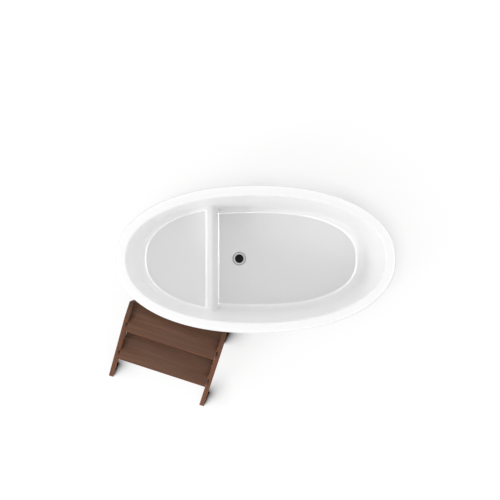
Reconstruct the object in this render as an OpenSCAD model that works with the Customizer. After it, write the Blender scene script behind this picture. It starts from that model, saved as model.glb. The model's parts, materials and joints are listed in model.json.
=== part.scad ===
// Oval plunge tub: a moulded white liner with a seat, hung in a stave-built timber shell,
// with a timber step whose upper tread is scribed to the oval. Millimetres, +Z up.
// The origin is on the floor under the centre of the oval, +X runs along the tub away from the seat.

/* [Tub] */
// Length over the rim
tub_l = 1420; // [1300:10:1600]
// Width over the rim
tub_w = 750; // [700:10:850]
// Height of the rim above the floor
tub_h = 700; // [660:10:800]
// Fullness of the rim's oval, where 2 is an ellipse
rim_fullness = 2.17; // [2:0.01:2.6]

/* [Liner] */
// Wall of the moulded liner
liner_t = 8; // [5:0.5:10]
// Width of the flat rim
rim_w = 46; // [44:1:60]
// Depth of the rim's turned-down lip
lip_drop = 40; // [20:1:60]
// Radius of the rim's outer top edge
lip_r = 7; // [3:0.5:7]
// Radius where the flat rim turns down into the basin
rim_inner_r = 9; // [8:1:20]
// Height of the basin's floor above the ground
floor_z = 100; // [96:1:130]
// Half length of the foot well's flat floor
floor_a = 528; // [500:4:548]
// Half width of the foot well's flat floor
floor_b = 244; // [220:1:250]
// Fullness of the floor's outline
floor_fullness = 2.45; // [2:0.05:2.8]
// Reach of the fillet round the floor along the tub
cove_a = 50; // [30:1:60]
// Reach of the fillet round the floor across the tub
cove_b = 27; // [15:1:30]
// Height of the fillet round the floor and the seat
cove_h = 45; // [25:1:60]

/* [Seat] */
// Height of the seat above the ground
seat_z = 350; // [280:5:400]
// Half length of the seat's flat outline
seat_a = 572; // [560:1:580]
// Half width of the seat's flat outline
seat_b = 275; // [260:1:280]
// Fullness of the seat's outline
seat_fullness = 2.2; // [2:0.05:2.6]
// Distance of the seat's front edge from the middle of the tub
seat_edge = 260; // [200:5:300]
// Radius of the seat's front edge
seat_edge_r = 36; // [20:1:45]
// Radius where the seat's riser meets the floor
riser_base_r = 12; // [8:1:20]
// Draft of the seat's riser
riser_draft = 5; // [2:0.5:8]

/* [Shell] */
// Number of staves round the oval
stave_count = 26; // [20:2:26]
// Thickness of a stave
stave_t = 18; // [16:1:20]
// How far the rim overhangs the staves
rim_overhang = 18; // [14:1:24]
// Height of the staves' feet above the ground
stave_foot = 20; // [10:1:30]
// Width of the bevel on each stave's outer corners
stave_bevel = 3; // [1:0.5:4]
// Reach of the tongue on a stave's edge
tongue_w = 5; // [3:0.5:6]
// Thickness of the tongue
tongue_t = 6; // [4:0.5:7]
// Hairline gap left between two staves
stave_gap = 0.2; // [0.1:0.1:0.4]
// Height of a steel hoop
hoop_h = 32; // [20:1:45]
// Thickness of a hoop
hoop_t = 1.6; // [1:0.2:2.4]
// Height of the lower hoop's middle
lower_hoop_z = 150; // [120:5:250]
// Height of the upper hoop's middle
upper_hoop_z = 560; // [450:5:600]
// Thickness of the ribs bent round inside the staves
rib_t = 6; // [5:0.5:7]
// Height of the ribs
rib_h = 40; // [30:1:60]

/* [Base] */
// Height of the bearers
bearer_h = 60; // [58:1:62]
// Width of a bearer
bearer_w = 60; // [45:1:70]
// Distance of the outer bearers from the middle one
bearer_pitch = 430; // [380:5:460]
// Thickness of the deck on the bearers
deck_t = 18; // [15:1:20]
// Thickness of the two ribs that carry the seat
seat_rib_t = 18; // [12:1:24]
// Distance of the front seat rib behind the seat's front edge
front_rib_back = 70; // [60:5:100]
// Distance of the rear seat rib behind the seat's front edge
rear_rib_back = 220; // [180:5:230]

/* [Waste] */
// Distance of the waste from the middle of the tub, towards the seat
waste_x = 87; // [80:1:100]
// Diameter of the waste's flange
flange_d = 70; // [64:1:80]
// Height of the flange above the floor
flange_h = 2.5; // [2:0.5:4]
// Diameter of the bore that takes the plug
plug_bore_d = 46; // [44:0.5:46]
// Outside diameter of the threaded tail
tail_d = 48; // [47:0.5:50]
// Length of the tail below the basin's floor
tail_l = 44; // [42:1:44]
// Height of the plug's travel, which its stem's length allows
plug_lift = 9; // [6:0.5:10]
// Outside diameter of the waste pipe
pipe_d = 40; // [36:1:42]
// Wall of the waste pipe
pipe_t = 2; // [1.5:0.5:3]
// Height of the waste pipe's axis
pipe_z = 34; // [30:1:34]
// Length of free bore in the outlet's mouth
mouth_l = 36; // [30:1:45]

/* [Step] */
// Clear width between the planks
step_w = 480; // [400:2:560]
// Thickness of the planks and posts
board_t = 25; // [20:1:30]
// Level width of a plank, where it stands on the floor
plank_w = 88; // [80:1:100]
// Height of the planks
plank_h = 447; // [430:1:480]
// How far a plank leans in, from its foot to its top
plank_run = 340; // [320:5:360]
// Height of the lower tread
lower_tread_z = 208; // [190:1:215]
// Height of the upper tread
upper_tread_z = 416; // [400:1:425]
// Thickness of a tread
tread_t = 25; // [20:1:28]
// How far a tread's nose stands in front of the planks
nose_over = 44; // [20:1:50]
// How far the lower tread runs back under the upper tread's nose
tread_lap = 22; // [15:1:40]
// Radius of the nose's upper edge
nose_r = 8; // [3:0.5:10]
// Depth of the housing that a tread's end sits in
housing_d = 9; // [6:0.5:12]
// How far a tread's tongue stops short of the plank's front edge
tongue_setback = 24; // [15:1:30]
// Width of a rear post
post_w = 80; // [60:1:90]
// Height of the rear rail
rail_h = 80; // [60:1:100]
// Height of the rear rail's lower edge
rail_z = 240; // [200:5:280]
// Thickness of the rubber feet
foot_t = 5; // [3:0.5:8]
// Gap between the step and the rim's outline, seen from above
step_gap = 5; // [4:0.5:12]
// Turn of the step, so that it faces the oval
step_turn = 18; // [10:1:20]
// How far the step's left front corner stands past the tub's end
step_past = 48; // [30:1:80]
// How far the step's left front corner stands out from the tub's side
step_out = 258; // [258:1:300]

/* [Hidden] */
// Points round a moulded oval
oval_n = 96;
// Points round a sawn or bent oval
fine_n = 200;
// Straight pieces in each small arc of a profile
arc_steps = 5;
// Straight pieces across a stave's face
face_steps = 6;
// Clearance of timber and rubber pieces that are fitted, not forced
fit = 0.4;
// Radial clearance of turned pieces that slide or screw together
turned_fit = 0.08;
// Clearance all round a stave's tongue in its groove
tongue_fit = 0.2;
// Gap left at the closed end of a push-in joint
end_gap = 0.5;
// How far a cutter runs past the surface that it opens
past = 1;
$fn = 64;

tub_a = tub_l / 2;
tub_b = tub_w / 2;
rim_under = tub_h - liner_t;
stave_in = rim_overhang + stave_t;
deck_top = bearer_h + deck_t;
floor_under = floor_z - liner_t;
seat_under = seat_z - liner_t;
pipe_r = pipe_d / 2;
pipe_bore_r = pipe_r - pipe_t;
tail_r = tail_d / 2;
plug_bore_r = plug_bore_d / 2;
tail_z = floor_z - tail_l;
plug_ledge = 6;
plug_ledge_z = floor_z - plug_ledge;
ledge_w = 3;
tail_bore_r = plug_bore_r - ledge_w;
step_x = -tub_a - step_past;
step_y = -tub_b - step_out;

WOOD = [0.40, 0.29, 0.24];
EDGE_WOOD = [0.45, 0.31, 0.22];
PLY = [0.76, 0.63, 0.45];
WHITE = [0.95, 0.95, 0.95];
STEEL = [0.72, 0.73, 0.74];
RUBBER = [0.05, 0.05, 0.05];
PIPE_GREY = [0.55, 0.56, 0.57];

STAVES = [for (k = [1 : stave_count]) str("stave_", k < 10 ? "0" : "", k)];

// Signed power, which the superellipse needs on both sides of its axes
function signed_pow(v, e) = sign(v) * pow(abs(v), e);

// A point of a superellipse with half axes a and b at the turn angle
function oval_point(a, b, fullness, angle) =
    [a * signed_pow(cos(angle), 2 / fullness), b * signed_pow(sin(angle), 2 / fullness)];

// The outward normal of the rim's outline at one of its points
function rim_normal(p) =
    let (g = [signed_pow(p.x / tub_a, rim_fullness - 1) / tub_a,
              signed_pow(p.y / tub_b, rim_fullness - 1) / tub_b])
    g / norm(g);

// A point at a distance inside the rim's outline
function rim_point(angle, inset) =
    let (p = oval_point(tub_a, tub_b, rim_fullness, angle)) p - inset * rim_normal(p);

// The rim's outline, moved in by a distance
function rim_outline(inset, count = fine_n) =
    [for (i = [0 : count - 1]) rim_point(360 * i / count, inset)];

// Half the width of the rim's outline, moved in by a distance, at a place along the tub
function half_width(x, inset) =
    (tub_b - inset) * pow(1 - pow(abs(x) / (tub_a - inset), rim_fullness), 1 / rim_fullness);

function blend(from, to, share) = from + (to - from) * share;

// Points of an arc from one angle to another
function arc(centre, r, from, to) =
    [for (i = [0 : arc_steps]) centre + r * [cos(blend(from, to, i / arc_steps)), sin(blend(from, to, i / arc_steps))]];

// Half axes and fullness of the basin's drafted wall at a height, from the floor's fillet to the rim
function wall(z) =
    let (share = (z - floor_z - cove_h) / (tub_h - rim_inner_r - floor_z - cove_h))
    [blend(floor_a + cove_a, tub_a - rim_w - rim_inner_r, share),
     blend(floor_b + cove_b, tub_b - rim_w - rim_inner_r, share),
     blend(floor_fullness, rim_fullness, share)];

// One ring of a loft, from its half axes and fullness
function ring(size, z, grow = 0) =
    [for (i = [0 : oval_n - 1])
        let (p = oval_point(size[0] + grow, size[1] + grow, size[2], 360 * i / oval_n)) [p.x, p.y, z]];

// Rings of the fillet between a flat floor and the wall above it
function cove(size, z, grow = 0) =
    let (top = wall(z + cove_h))
    [for (i = [0 : arc_steps])
        let (u = 90 * i / arc_steps)
        ring([blend(size[0], top[0], sin(u)), blend(size[1], top[1], sin(u)), blend(size[2], top[2], sin(u))],
             z - grow + (cove_h + grow) * (1 - cos(u)), grow)];

// Rings of the roll at the rim's inner edge
function inner_roll() =
    let (top = wall(tub_h - rim_inner_r))
    [for (i = [1 : arc_steps])
        let (v = 90 * i / arc_steps, out = rim_inner_r * (1 - cos(v)))
        ring([top[0] + out, top[1] + out, top[2]], tub_h - rim_inner_r * (1 - sin(v)))];

FLOOR_SIZE = [floor_a, floor_b, floor_fullness];
SEAT_SIZE = [seat_a, seat_b, seat_fullness];

// A closed solid through rings of equal count, from the lowest to the highest
module loft(rings) {
    count = len(rings[0]);
    last = len(rings) - 1;
    sides = [for (i = [0 : last - 1], j = [0 : count - 1])
        let (k = (j + 1) % count, low = i * count, high = (i + 1) * count)
        each [[low + j, high + j, high + k], [low + j, high + k, low + k]]];
    polyhedron(
        points = [for (r = rings) each r],
        faces = concat(
            [[for (j = [0 : count - 1]) j]],
            [[for (j = [0 : count - 1]) last * count + count - 1 - j]],
            sides
        ),
        convexity = 6
    );
}

// Section of the seat's riser along the tub, grown to the back of the moulding by a distance
function riser_line(grow) =
    let (edge = [-seat_edge, seat_z - seat_edge_r],
         foot_z = floor_z + riser_base_r * (1 - sin(riser_draft)),
         turn_z = edge.y + seat_edge_r * sin(riser_draft),
         foot_x = edge.x + seat_edge_r * cos(riser_draft) + (turn_z - foot_z) * tan(riser_draft),
         base = [foot_x + riser_base_r * cos(riser_draft), floor_z + riser_base_r])
    concat(
        arc(edge, seat_edge_r - grow, 90, riser_draft),
        arc(base, riser_base_r + grow, 180 + riser_draft, 270)
    );

// The half of the tub that lies in front of the seat's riser
module before_riser(grow) {
    line = riser_line(grow);
    foot = line[len(line) - 1];
    rotate([90, 0, 0])
        linear_extrude(tub_w, center = true)
            polygon(concat(
                line,
                [[foot.x, foot.y - 2 * past], [tub_l, foot.y - 2 * past], [tub_l, 2 * tub_h], [line[0].x, 2 * tub_h]]
            ));
}

// The space inside the basin, or with grow the same space with the moulding's wall round it
module basin(grow = 0) {
    top_rings = grow > 0
        ? [ring(wall(tub_h - rim_inner_r), tub_h - liner_t / 2, grow)]
        : concat([ring(wall(tub_h - rim_inner_r), tub_h - rim_inner_r)], inner_roll(),
                 [ring(wall(tub_h - rim_inner_r) + [rim_inner_r, rim_inner_r, 0], tub_h + past)]);
    loft(concat(cove(SEAT_SIZE, seat_z, grow), top_rings));
    intersection() {
        loft(cove_to_seat(grow));
        before_riser(grow);
    }
}

// Rings of the foot well, up to the height where the seat's fillet ends
function cove_to_seat(grow) =
    concat(cove(FLOOR_SIZE, floor_z, grow), [ring(wall(seat_z + cove_h), seat_z + cove_h, grow)]);

// Rings of the rim's outside, with its rounded top edge
function rim_rings() =
    concat(
        [[for (p = rim_outline(0, oval_n)) [p.x, p.y, tub_h - lip_drop]]],
        [for (i = [0 : arc_steps])
            let (v = 90 * i / arc_steps)
            [for (p = rim_outline(lip_r * (1 - cos(v)), oval_n)) [p.x, p.y, tub_h - lip_r * (1 - sin(v))]]]
    );

module liner_moulding() {
    difference() {
        union() {
            difference() {
                loft(rim_rings());
                translate([0, 0, tub_h - lip_drop - past])
                    linear_extrude(lip_drop + past - liner_t)
                        polygon(rim_outline(liner_t, oval_n));
            }
            basin(liner_t);
        }
        basin();
    }
}

module liner() {
    color(WHITE)
        difference() {
            // The moulding is trimmed to its length and width over the rim
            resize([tub_l, tub_w, 0])
                liner_moulding();
            translate([-waste_x, 0, floor_under - past])
                cylinder(r = tail_r + fit, h = liner_t + 2 * past);
        }
}

// Length round the staves' outer faces, paired with the angle reached, from the middle of the back
STAVE_LENGTHS = [for (i = 0, s = 0; i <= 360;
    s = s + norm(rim_point(91 + i, rim_overhang) - rim_point(90 + i, rim_overhang)), i = i + 1) [s, 90 + i]];
STAVE_RUN = STAVE_LENGTHS[360][0];

// A point of the shell: its place counted in staves from the back, its depth and its offset along the wall
function stave_point(place, depth, along = 0) =
    let (s = place * STAVE_RUN / stave_count,
         angle = lookup(s < 0 ? s + STAVE_RUN : s, STAVE_LENGTHS),
         n = rim_normal(oval_point(tub_a, tub_b, rim_fullness, angle)))
    rim_point(angle, rim_overhang + depth) + along * [-n.y, n.x];

// Section of one stave: outer face, tongue, inner face and groove
function stave_section(k) =
    let (start = k, end = k + 1, g = stave_gap / 2,
         near = (stave_t - tongue_t) / 2, far = near + tongue_t, slack = tongue_fit,
         shares = [for (i = [1 : face_steps - 1]) i / face_steps])
    concat(
        [stave_point(start, 0, g + stave_bevel)],
        [for (u = shares) stave_point(start + u, 0)],
        [stave_point(end, 0, -g - stave_bevel), stave_point(end, stave_bevel, -g),
         stave_point(end, near, -g), stave_point(end, near, tongue_w),
         stave_point(end, far, tongue_w), stave_point(end, far, -g), stave_point(end, stave_t, -g)],
        [for (u = shares) stave_point(end - u, stave_t)],
        [stave_point(start, stave_t, g),
         stave_point(start, far + slack, g), stave_point(start, far + slack, tongue_w + 2 * slack),
         stave_point(start, near - slack, tongue_w + 2 * slack), stave_point(start, near - slack, g),
         stave_point(start, stave_bevel, g)]
    );

// The slot in a stave's foot that the outlet comes out of
module outlet_slot() {
    translate([-waste_x, tub_b - rim_overhang - stave_t / 2, pipe_z]) {
        rotate([90, 0, 0])
            cylinder(r = slot_r, h = 3 * stave_t, center = true);
        translate([-slot_r, -1.5 * stave_t, -pipe_z])
            cube([2 * slot_r, 3 * stave_t, pipe_z]);
    }
}

// One stave, counted from the middle of the back and round by the seat's end
module stave(k) {
    middle = stave_point(k + 0.5, 0);
    at_outlet = middle.y > 0 && abs(middle.x + waste_x) < slot_r + STAVE_RUN / stave_count / 2;
    color(WOOD)
        difference() {
            translate([0, 0, stave_foot])
                linear_extrude(rim_under - stave_foot)
                    polygon(stave_section(k));
            if (at_outlet)
                outlet_slot();
        }
}

// A band bent round the oval, between two distances inside the rim's outline
module oval_band(inset, thickness, height) {
    linear_extrude(height)
        difference() {
            polygon(rim_outline(inset));
            polygon(rim_outline(inset + thickness));
        }
}

lug_gap = 12;
lug_t = 6;
lug_reach = 13;
lug_inset = rim_overhang - fit;
bolt_r = 3;
lug_margin = 2;
bolt_head_t = 4;
bolt_nut_t = 5;
bolt_head_r = 5.5;
bolt_end = 8;

// A steel hoop with a gap at the back, and a lug on each side of the gap
module hoop(middle_z) {
    color(STEEL)
        translate([0, 0, middle_z - hoop_h / 2])
            difference() {
                union() {
                    difference() {
                        oval_band(lug_inset - hoop_t, hoop_t, hoop_h);
                        translate([-lug_gap / 2, tub_b - 2 * rim_overhang, -past])
                            cube([lug_gap, 2 * rim_overhang, hoop_h + 2 * past]);
                    }
                    for (side = [-1, 1])
                        translate([side * (lug_gap + lug_t) / 2, tub_b - lug_inset + hoop_t + lug_reach / 2 - past, hoop_h / 2])
                            cube([lug_t, lug_reach + past, hoop_h - 2 * lug_margin], center = true);
                }
                hoop_bolt_place()
                    cylinder(r = bolt_r + fit, h = 2 * lug_gap + 4 * lug_t, center = true);
            }
}

// The axis of a hoop's draw bolt, from the hoop's lower edge
module hoop_bolt_place() {
    translate([0, tub_b - lug_inset + hoop_t + lug_reach / 2, hoop_h / 2])
        rotate([0, 90, 0])
            children();
}

// One draw bolt with its hexagon head and nut, both of them against the lugs
module hoop_bolt() {
    half = lug_gap / 2 + lug_t;
    translate([0, 0, -half - bolt_head_t])
        cylinder(r = bolt_head_r, h = bolt_head_t, $fn = 6);
    translate([0, 0, -half - bolt_head_t])
        cylinder(r = bolt_r, h = 2 * half + bolt_head_t + bolt_nut_t + bolt_end);
    translate([0, 0, half])
        difference() {
            cylinder(r = bolt_head_r, h = bolt_nut_t, $fn = 6);
            translate([0, 0, -past])
                cylinder(r = bolt_r + turned_fit, h = bolt_nut_t + 2 * past);
        }
}

module hoop_bolts() {
    color(STEEL)
        for (z = [lower_hoop_z, upper_hoop_z])
            translate([0, 0, z - hoop_h / 2])
                hoop_bolt_place()
                    hoop_bolt();
}

module rib(low_z) {
    color(PLY)
        translate([0, 0, low_z])
            oval_band(stave_in + fit, rib_t, rib_h);
}

module deck() {
    color(PLY)
        difference() {
            translate([0, 0, bearer_h])
                linear_extrude(deck_t)
                    polygon(rim_outline(stave_in + fit));
            translate([-waste_x, 0, bearer_h - past])
                cylinder(r = nut_r + nut_room, h = deck_t + 2 * past);
        }
}

// A sheet of closed-cell foam that beds the foot well's floor on the deck
module foam_pad() {
    color([0.3, 0.32, 0.34])
        difference() {
            translate([0, 0, deck_top])
                linear_extrude(floor_under - deck_top)
                    intersection() {
                        polygon([for (p = ring(FLOOR_SIZE, 0)) [p.x, p.y]]);
                        translate([pad_start, -tub_b])
                            square([tub_a - pad_start, tub_w]);
                    }
            translate([-waste_x, 0, deck_top - past])
                cylinder(r = nut_r + nut_room, h = floor_under - deck_top + 2 * past);
        }
}

// The foam starts where the riser's back has come down to the floor
pad_start = riser_line(liner_t)[2 * arc_steps + 1].x;

bearer_gap = 2;

// A bearer across the tub, which stops short of the staves
module bearer(x) {
    half = half_width(abs(x) + bearer_w / 2, stave_in + bearer_gap);
    color(EDGE_WOOD)
        translate([x - bearer_w / 2, -half, 0])
            cube([bearer_w, 2 * half, bearer_h]);
}

seat_rib_share = 0.82;

// An upright plywood rib that carries the seat, as wide as a share of the flat above it
module seat_rib(x) {
    half = seat_rib_share * seat_b * pow(1 - pow(abs(x) / seat_a, seat_fullness), 1 / seat_fullness);
    color(PLY)
        translate([x - seat_rib_t / 2, -half, deck_top])
            cube([seat_rib_t, 2 * half, seat_under - deck_top]);
}

washer_t = 4;
nut_t = 12;
nut_r = 36;
nut_room = 4;
gasket_t = 1;
gasket_inset = 3;
washer_inset = 2;
flange_slope_w = 4;
hub_r = 7;
stem_r = 4;
guide_t = 8;
guide_arm_t = 3;
guide_gap = 4;
guide_z = tail_z + guide_gap;
stem_grip = 3;

// The waste: a polished flange and a threaded tail in one piece, with a three-armed guide inside
module waste_body() {
    flange_z = floor_z + gasket_t;
    color(STEEL)
        translate([-waste_x, 0, 0]) {
            difference() {
                union() {
                    translate([0, 0, flange_z])
                        cylinder(r = flange_d / 2, h = flange_h / 2);
                    translate([0, 0, flange_z + flange_h / 2])
                        cylinder(r1 = flange_d / 2, r2 = flange_d / 2 - flange_slope_w, h = flange_h / 2);
                    translate([0, 0, tail_z])
                        cylinder(r = tail_r, h = flange_z + flange_h / 2 - tail_z);
                }
                translate([0, 0, plug_ledge_z])
                    cylinder(r = plug_bore_r, h = liner_t + flange_h + 2 * past);
                translate([0, 0, tail_z - past])
                    cylinder(r = tail_bore_r, h = floor_z - tail_z);
            }
            difference() {
                union() {
                    translate([0, 0, guide_z])
                        cylinder(r = hub_r, h = guide_t);
                    for (turn = [0, 120, 240])
                        rotate([0, 0, turn])
                            translate([0, -guide_arm_t / 2, guide_z])
                                cube([(tail_bore_r + tail_r) / 2, guide_arm_t, guide_t]);
                }
                translate([0, 0, guide_z - past])
                    cylinder(r = stem_r + turned_fit, h = guide_t + 2 * past);
            }
        }
}

// A flat ring round the waste's tail
module tail_ring(z, r, t, clearance) {
    translate([-waste_x, 0, z])
        difference() {
            cylinder(r = r, h = t);
            translate([0, 0, -past])
                cylinder(r = tail_r + clearance, h = t + 2 * past);
        }
}

module flange_gasket() {
    color(RUBBER)
        tail_ring(floor_z, flange_d / 2 - gasket_inset, gasket_t, fit);
}

module waste_washer() {
    color(RUBBER)
        tail_ring(floor_under - washer_t, nut_r - washer_inset, washer_t, fit);
}

module waste_nut() {
    color(STEEL)
        translate([-waste_x, 0, floor_under - washer_t - nut_t])
            difference() {
                cylinder(r = nut_r, h = nut_t, $fn = 6);
                translate([0, 0, -past])
                    cylinder(r = tail_r + turned_fit, h = nut_t + 2 * past);
            }
}

elbow_gap = 2;
elbow_top = floor_under - washer_t - nut_t - elbow_gap;
elbow_wall = 4;
elbow_belly = 1;
elbow_cup = 5;
elbow_reach = 62;
elbow_heel = 13;
elbow_ease = 0.5;
socket_wall = 5;
socket_r = pipe_r + socket_wall;
slot_gap = 2;
slot_r = socket_r + slot_gap;
pipe_start = 34;
outlet_y = floor(half_width(waste_x, rim_overhang));
pipe_hold = 32;
socket_l = mouth_l + pipe_hold;
stop_t = 3;
mouth_fit = 0.1;

// A cylinder along +Y on the waste pipe's axis, from one place across the tub to another
module pipe_run(from, to, r) {
    translate([-waste_x, from, pipe_z])
        rotate([-90, 0, 0])
            cylinder(r = r, h = to - from);
}

module drain_elbow() {
    body_r = pipe_r + elbow_wall;
    color(PIPE_GREY)
        difference() {
            union() {
                translate([-waste_x, 0, pipe_z - body_r - elbow_belly])
                    cylinder(r = body_r + elbow_belly, h = tail_z - pipe_z + body_r);
                translate([-waste_x, 0, tail_z - elbow_cup])
                    cylinder(r = tail_r + elbow_wall, h = elbow_top - tail_z + elbow_cup);
                pipe_run(0, elbow_reach, body_r);
            }
            translate([-waste_x, 0, tail_z - end_gap])
                cylinder(r = tail_r + turned_fit, h = elbow_top - tail_z + past + end_gap);
            translate([-waste_x, 0, pipe_z - elbow_heel])
                cylinder(r = pipe_bore_r + elbow_ease, h = tail_z - pipe_z + elbow_heel);
            pipe_run(0, pipe_start + past, pipe_bore_r);
            pipe_run(pipe_start, elbow_reach + past, pipe_r + turned_fit);
        }
}

module drain_pipe() {
    color(PIPE_GREY)
        difference() {
            pipe_run(pipe_start + end_gap, pipe_end, pipe_r);
            pipe_run(pipe_start - past, pipe_end + past, pipe_bore_r);
        }
}

pipe_end = outlet_y - mouth_l - stop_t;

// A push-fit socket: the pipe's end on the inside of its stop, and an open mouth at the shell
module outlet_socket() {
    color(PIPE_GREY)
        difference() {
            pipe_run(outlet_y - socket_l, outlet_y, socket_r);
            pipe_run(outlet_y - socket_l - past, pipe_end, pipe_r + turned_fit);
            pipe_run(pipe_end - past, outlet_y, pipe_bore_r);
            pipe_run(outlet_y - mouth_l, outlet_y + past, pipe_r + mouth_fit);
        }
}

clip_w = 18;
clip_wall = 6;
clip_back = 8;

// One saddle that hangs the pipe or the socket from the deck
module pipe_clip(y, r) {
    difference() {
        translate([-waste_x - r - clip_wall, y, pipe_z])
            cube([2 * (r + clip_wall), clip_w, bearer_h - pipe_z]);
        pipe_run(y - past, y + clip_w + past, r + turned_fit);
    }
}

module pipe_clips() {
    color(PLY) {
        pipe_clip(outlet_y / 2, pipe_r);
        pipe_clip(outlet_y - socket_l + clip_back, socket_r);
    }
}

seal_gap = 0.2;
seal_t = 3;
seal_w = 8.2;
seal_z = plug_ledge_z + seal_gap;
seal_r = plug_bore_r - 2 * fit;
cap_z = seal_z + seal_t;
cap_r = plug_bore_r - fit;
cap_t = 3;
cap_crown = 1.5;
cap_slope_w = 3;

module plug_seal() {
    color(RUBBER)
        translate([-waste_x, 0, seal_z])
            difference() {
                cylinder(r = seal_r, h = seal_t);
                translate([0, 0, -past])
                    cylinder(r = seal_r - seal_w, h = seal_t + 2 * past);
            }
}

// The black cap, slightly domed towards its edge
module plug_cap() {
    color(RUBBER)
        translate([-waste_x, 0, cap_z]) {
            cylinder(r = cap_r, h = cap_t);
            translate([0, 0, cap_t])
                cylinder(r1 = cap_r, r2 = cap_r - cap_slope_w, h = cap_crown);
        }
}

// The stem is still held in the guide when the plug is up
module plug_stem() {
    stem_z = guide_z + guide_t - stem_grip - plug_lift;
    color(STEEL)
        translate([-waste_x, 0, stem_z])
            cylinder(r = stem_r, h = cap_z - stem_z);
}

// Places something drawn in the step's own frame: x along the treads, y towards the tub
module place_step() {
    translate([step_x, step_y, 0])
        rotate([0, 0, -step_turn])
            children();
}

// The upright prism that the step keeps clear of, in the step's own frame
module tub_side() {
    rotate([0, 0, step_turn])
        translate([-step_x, -step_y, -past])
            linear_extrude(tub_h)
                polygon(rim_outline(-step_gap));
}

// A plank's front edge at a height
function front_y(z) = z * plank_run / plank_h;

// Extrudes a section of y and z along the treads, from one place to another
module across(from, to) {
    translate([from, 0, 0])
        rotate([90, 0, 90])
            linear_extrude(to - from)
                children();
}

function board_x(side) = side < 0 ? -board_t : step_w;

TREADS = [lower_tread_z, upper_tread_z];
screw_r = 2.5;
screw_head_r = 5;
screw_head_t = 4;
screw_l = 60;
screw_gap = 0.1;
head_rim = 1;
screw_places = [0.42 * plank_w, 0.66 * plank_w];

// Places a child at each screw of one tread, along the screw, from the outer face inwards
module tread_screw_places(tread_z) {
    for (side = [-1, 1], along = screw_places)
        translate([side < 0 ? -board_t : step_w + board_t, front_y(tread_z) + along, tread_z - tread_t / 2])
            rotate([0, side < 0 ? 90 : -90, 0])
                children();
}

// The same for the rear rail's screws
module rail_screw_places() {
    for (side = [-1, 1], up = [0.25, 0.75])
        translate([side < 0 ? -board_t : step_w + board_t, rail_y + board_t / 2, rail_z + up * rail_h])
            rotate([0, side < 0 ? 90 : -90, 0])
                children();
}

module screw(gap = 0) {
    cylinder(r = screw_r + gap, h = screw_l + gap);
    translate([0, 0, -past * sign(gap)])
        cylinder(r = screw_head_r + gap, h = head_rim + past * sign(gap));
    translate([0, 0, head_rim])
        cylinder(r1 = screw_head_r + gap, r2 = screw_r + gap, h = screw_head_t - head_rim);
}

module screw_holes() {
    for (z = TREADS)
        tread_screw_places(z)
            screw(screw_gap);
    rail_screw_places()
        screw(screw_gap);
}

// An inclined plank with a housing for each tread's end, open at the plank's front edge
module plank(side) {
    low = foot_t;
    color(EDGE_WOOD)
        place_step()
            difference() {
                across(board_x(side), board_x(side) + board_t)
                    polygon([[front_y(low), low], [front_y(low) + plank_w, low],
                             [plank_run + plank_w, plank_h], [plank_run, plank_h]]);
                for (z = TREADS)
                    translate([side < 0 ? -housing_d : step_w - past, 0, z - tread_t - fit / 2])
                        cube([housing_d + past, plank_run + plank_w, tread_t + fit]);
                screw_holes();
                tub_side();
            }
}

post_y = plank_run + plank_w - post_w;
rail_inset = 5;
rail_y = post_y + rail_inset;
tongue_margin = 3;
tread_chamfer = 2;
foot_side = 2;
foot_end = 4;

// A rear post, cut to the slope of the plank that it carries
module post(side) {
    function under_plank(y) = (y - plank_w) * plank_h / plank_run;
    color(EDGE_WOOD)
        place_step()
            difference() {
                across(board_x(side), board_x(side) + board_t)
                    polygon([[post_y, foot_t], [post_y + post_w, foot_t],
                             [post_y + post_w, under_plank(post_y + post_w)], [post_y, under_plank(post_y)]]);
                screw_holes();
                tub_side();
            }
}

// A board with a rounded nose, whose narrower tongues sit in the planks' housings
module tread(tread_z, depth) {
    nose_y = front_y(tread_z) - nose_over;
    tongue_y = front_y(tread_z) + tongue_setback;
    tongue_end = front_y(tread_z - tread_t) + plank_w - tongue_margin;
    color(WOOD)
        place_step()
            difference() {
                union() {
                    across(fit / 2, step_w - fit / 2)
                        polygon(concat(
                            [[nose_y + depth, tread_z - tread_t], [nose_y + depth, tread_z]],
                            arc([nose_y + nose_r, tread_z - nose_r], nose_r, 90, 180),
                            [[nose_y, tread_z - tread_t + tread_chamfer], [nose_y + tread_chamfer, tread_z - tread_t]]
                        ));
                    translate([fit - housing_d, tongue_y, tread_z - tread_t])
                        cube([step_w + 2 * (housing_d - fit), tongue_end - tongue_y, tread_t]);
                }
                tread_screw_places(tread_z)
                    screw(screw_gap);
                tub_side();
            }
}

module lower_tread() {
    tread(lower_tread_z, front_y(upper_tread_z) - front_y(lower_tread_z) + tread_lap);
}

module upper_tread() {
    tread(upper_tread_z, nose_over + plank_w + post_w);
}

module rear_rail() {
    color(EDGE_WOOD)
        place_step()
            difference() {
                translate([fit / 2, rail_y, rail_z])
                    cube([step_w - fit, board_t, rail_h]);
                rail_screw_places()
                    screw(screw_gap);
            }
}

module step_screws() {
    color(STEEL)
        place_step() {
            for (z = TREADS)
                tread_screw_places(z)
                    screw();
            rail_screw_places()
                screw();
        }
}

// Rubber feet under the planks and the posts
module step_feet() {
    color(RUBBER)
        place_step()
            for (side = [-1, 1])
                translate([board_x(side) + foot_side, 0, 0]) {
                    translate([0, front_y(foot_t) + foot_end, 0])
                        cube([board_t - 2 * foot_side, plank_w - 2 * foot_end, foot_t]);
                    translate([0, post_y + foot_end, 0])
                        cube([board_t - 2 * foot_side, post_w - 2 * foot_end, foot_t]);
                }
}

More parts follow.
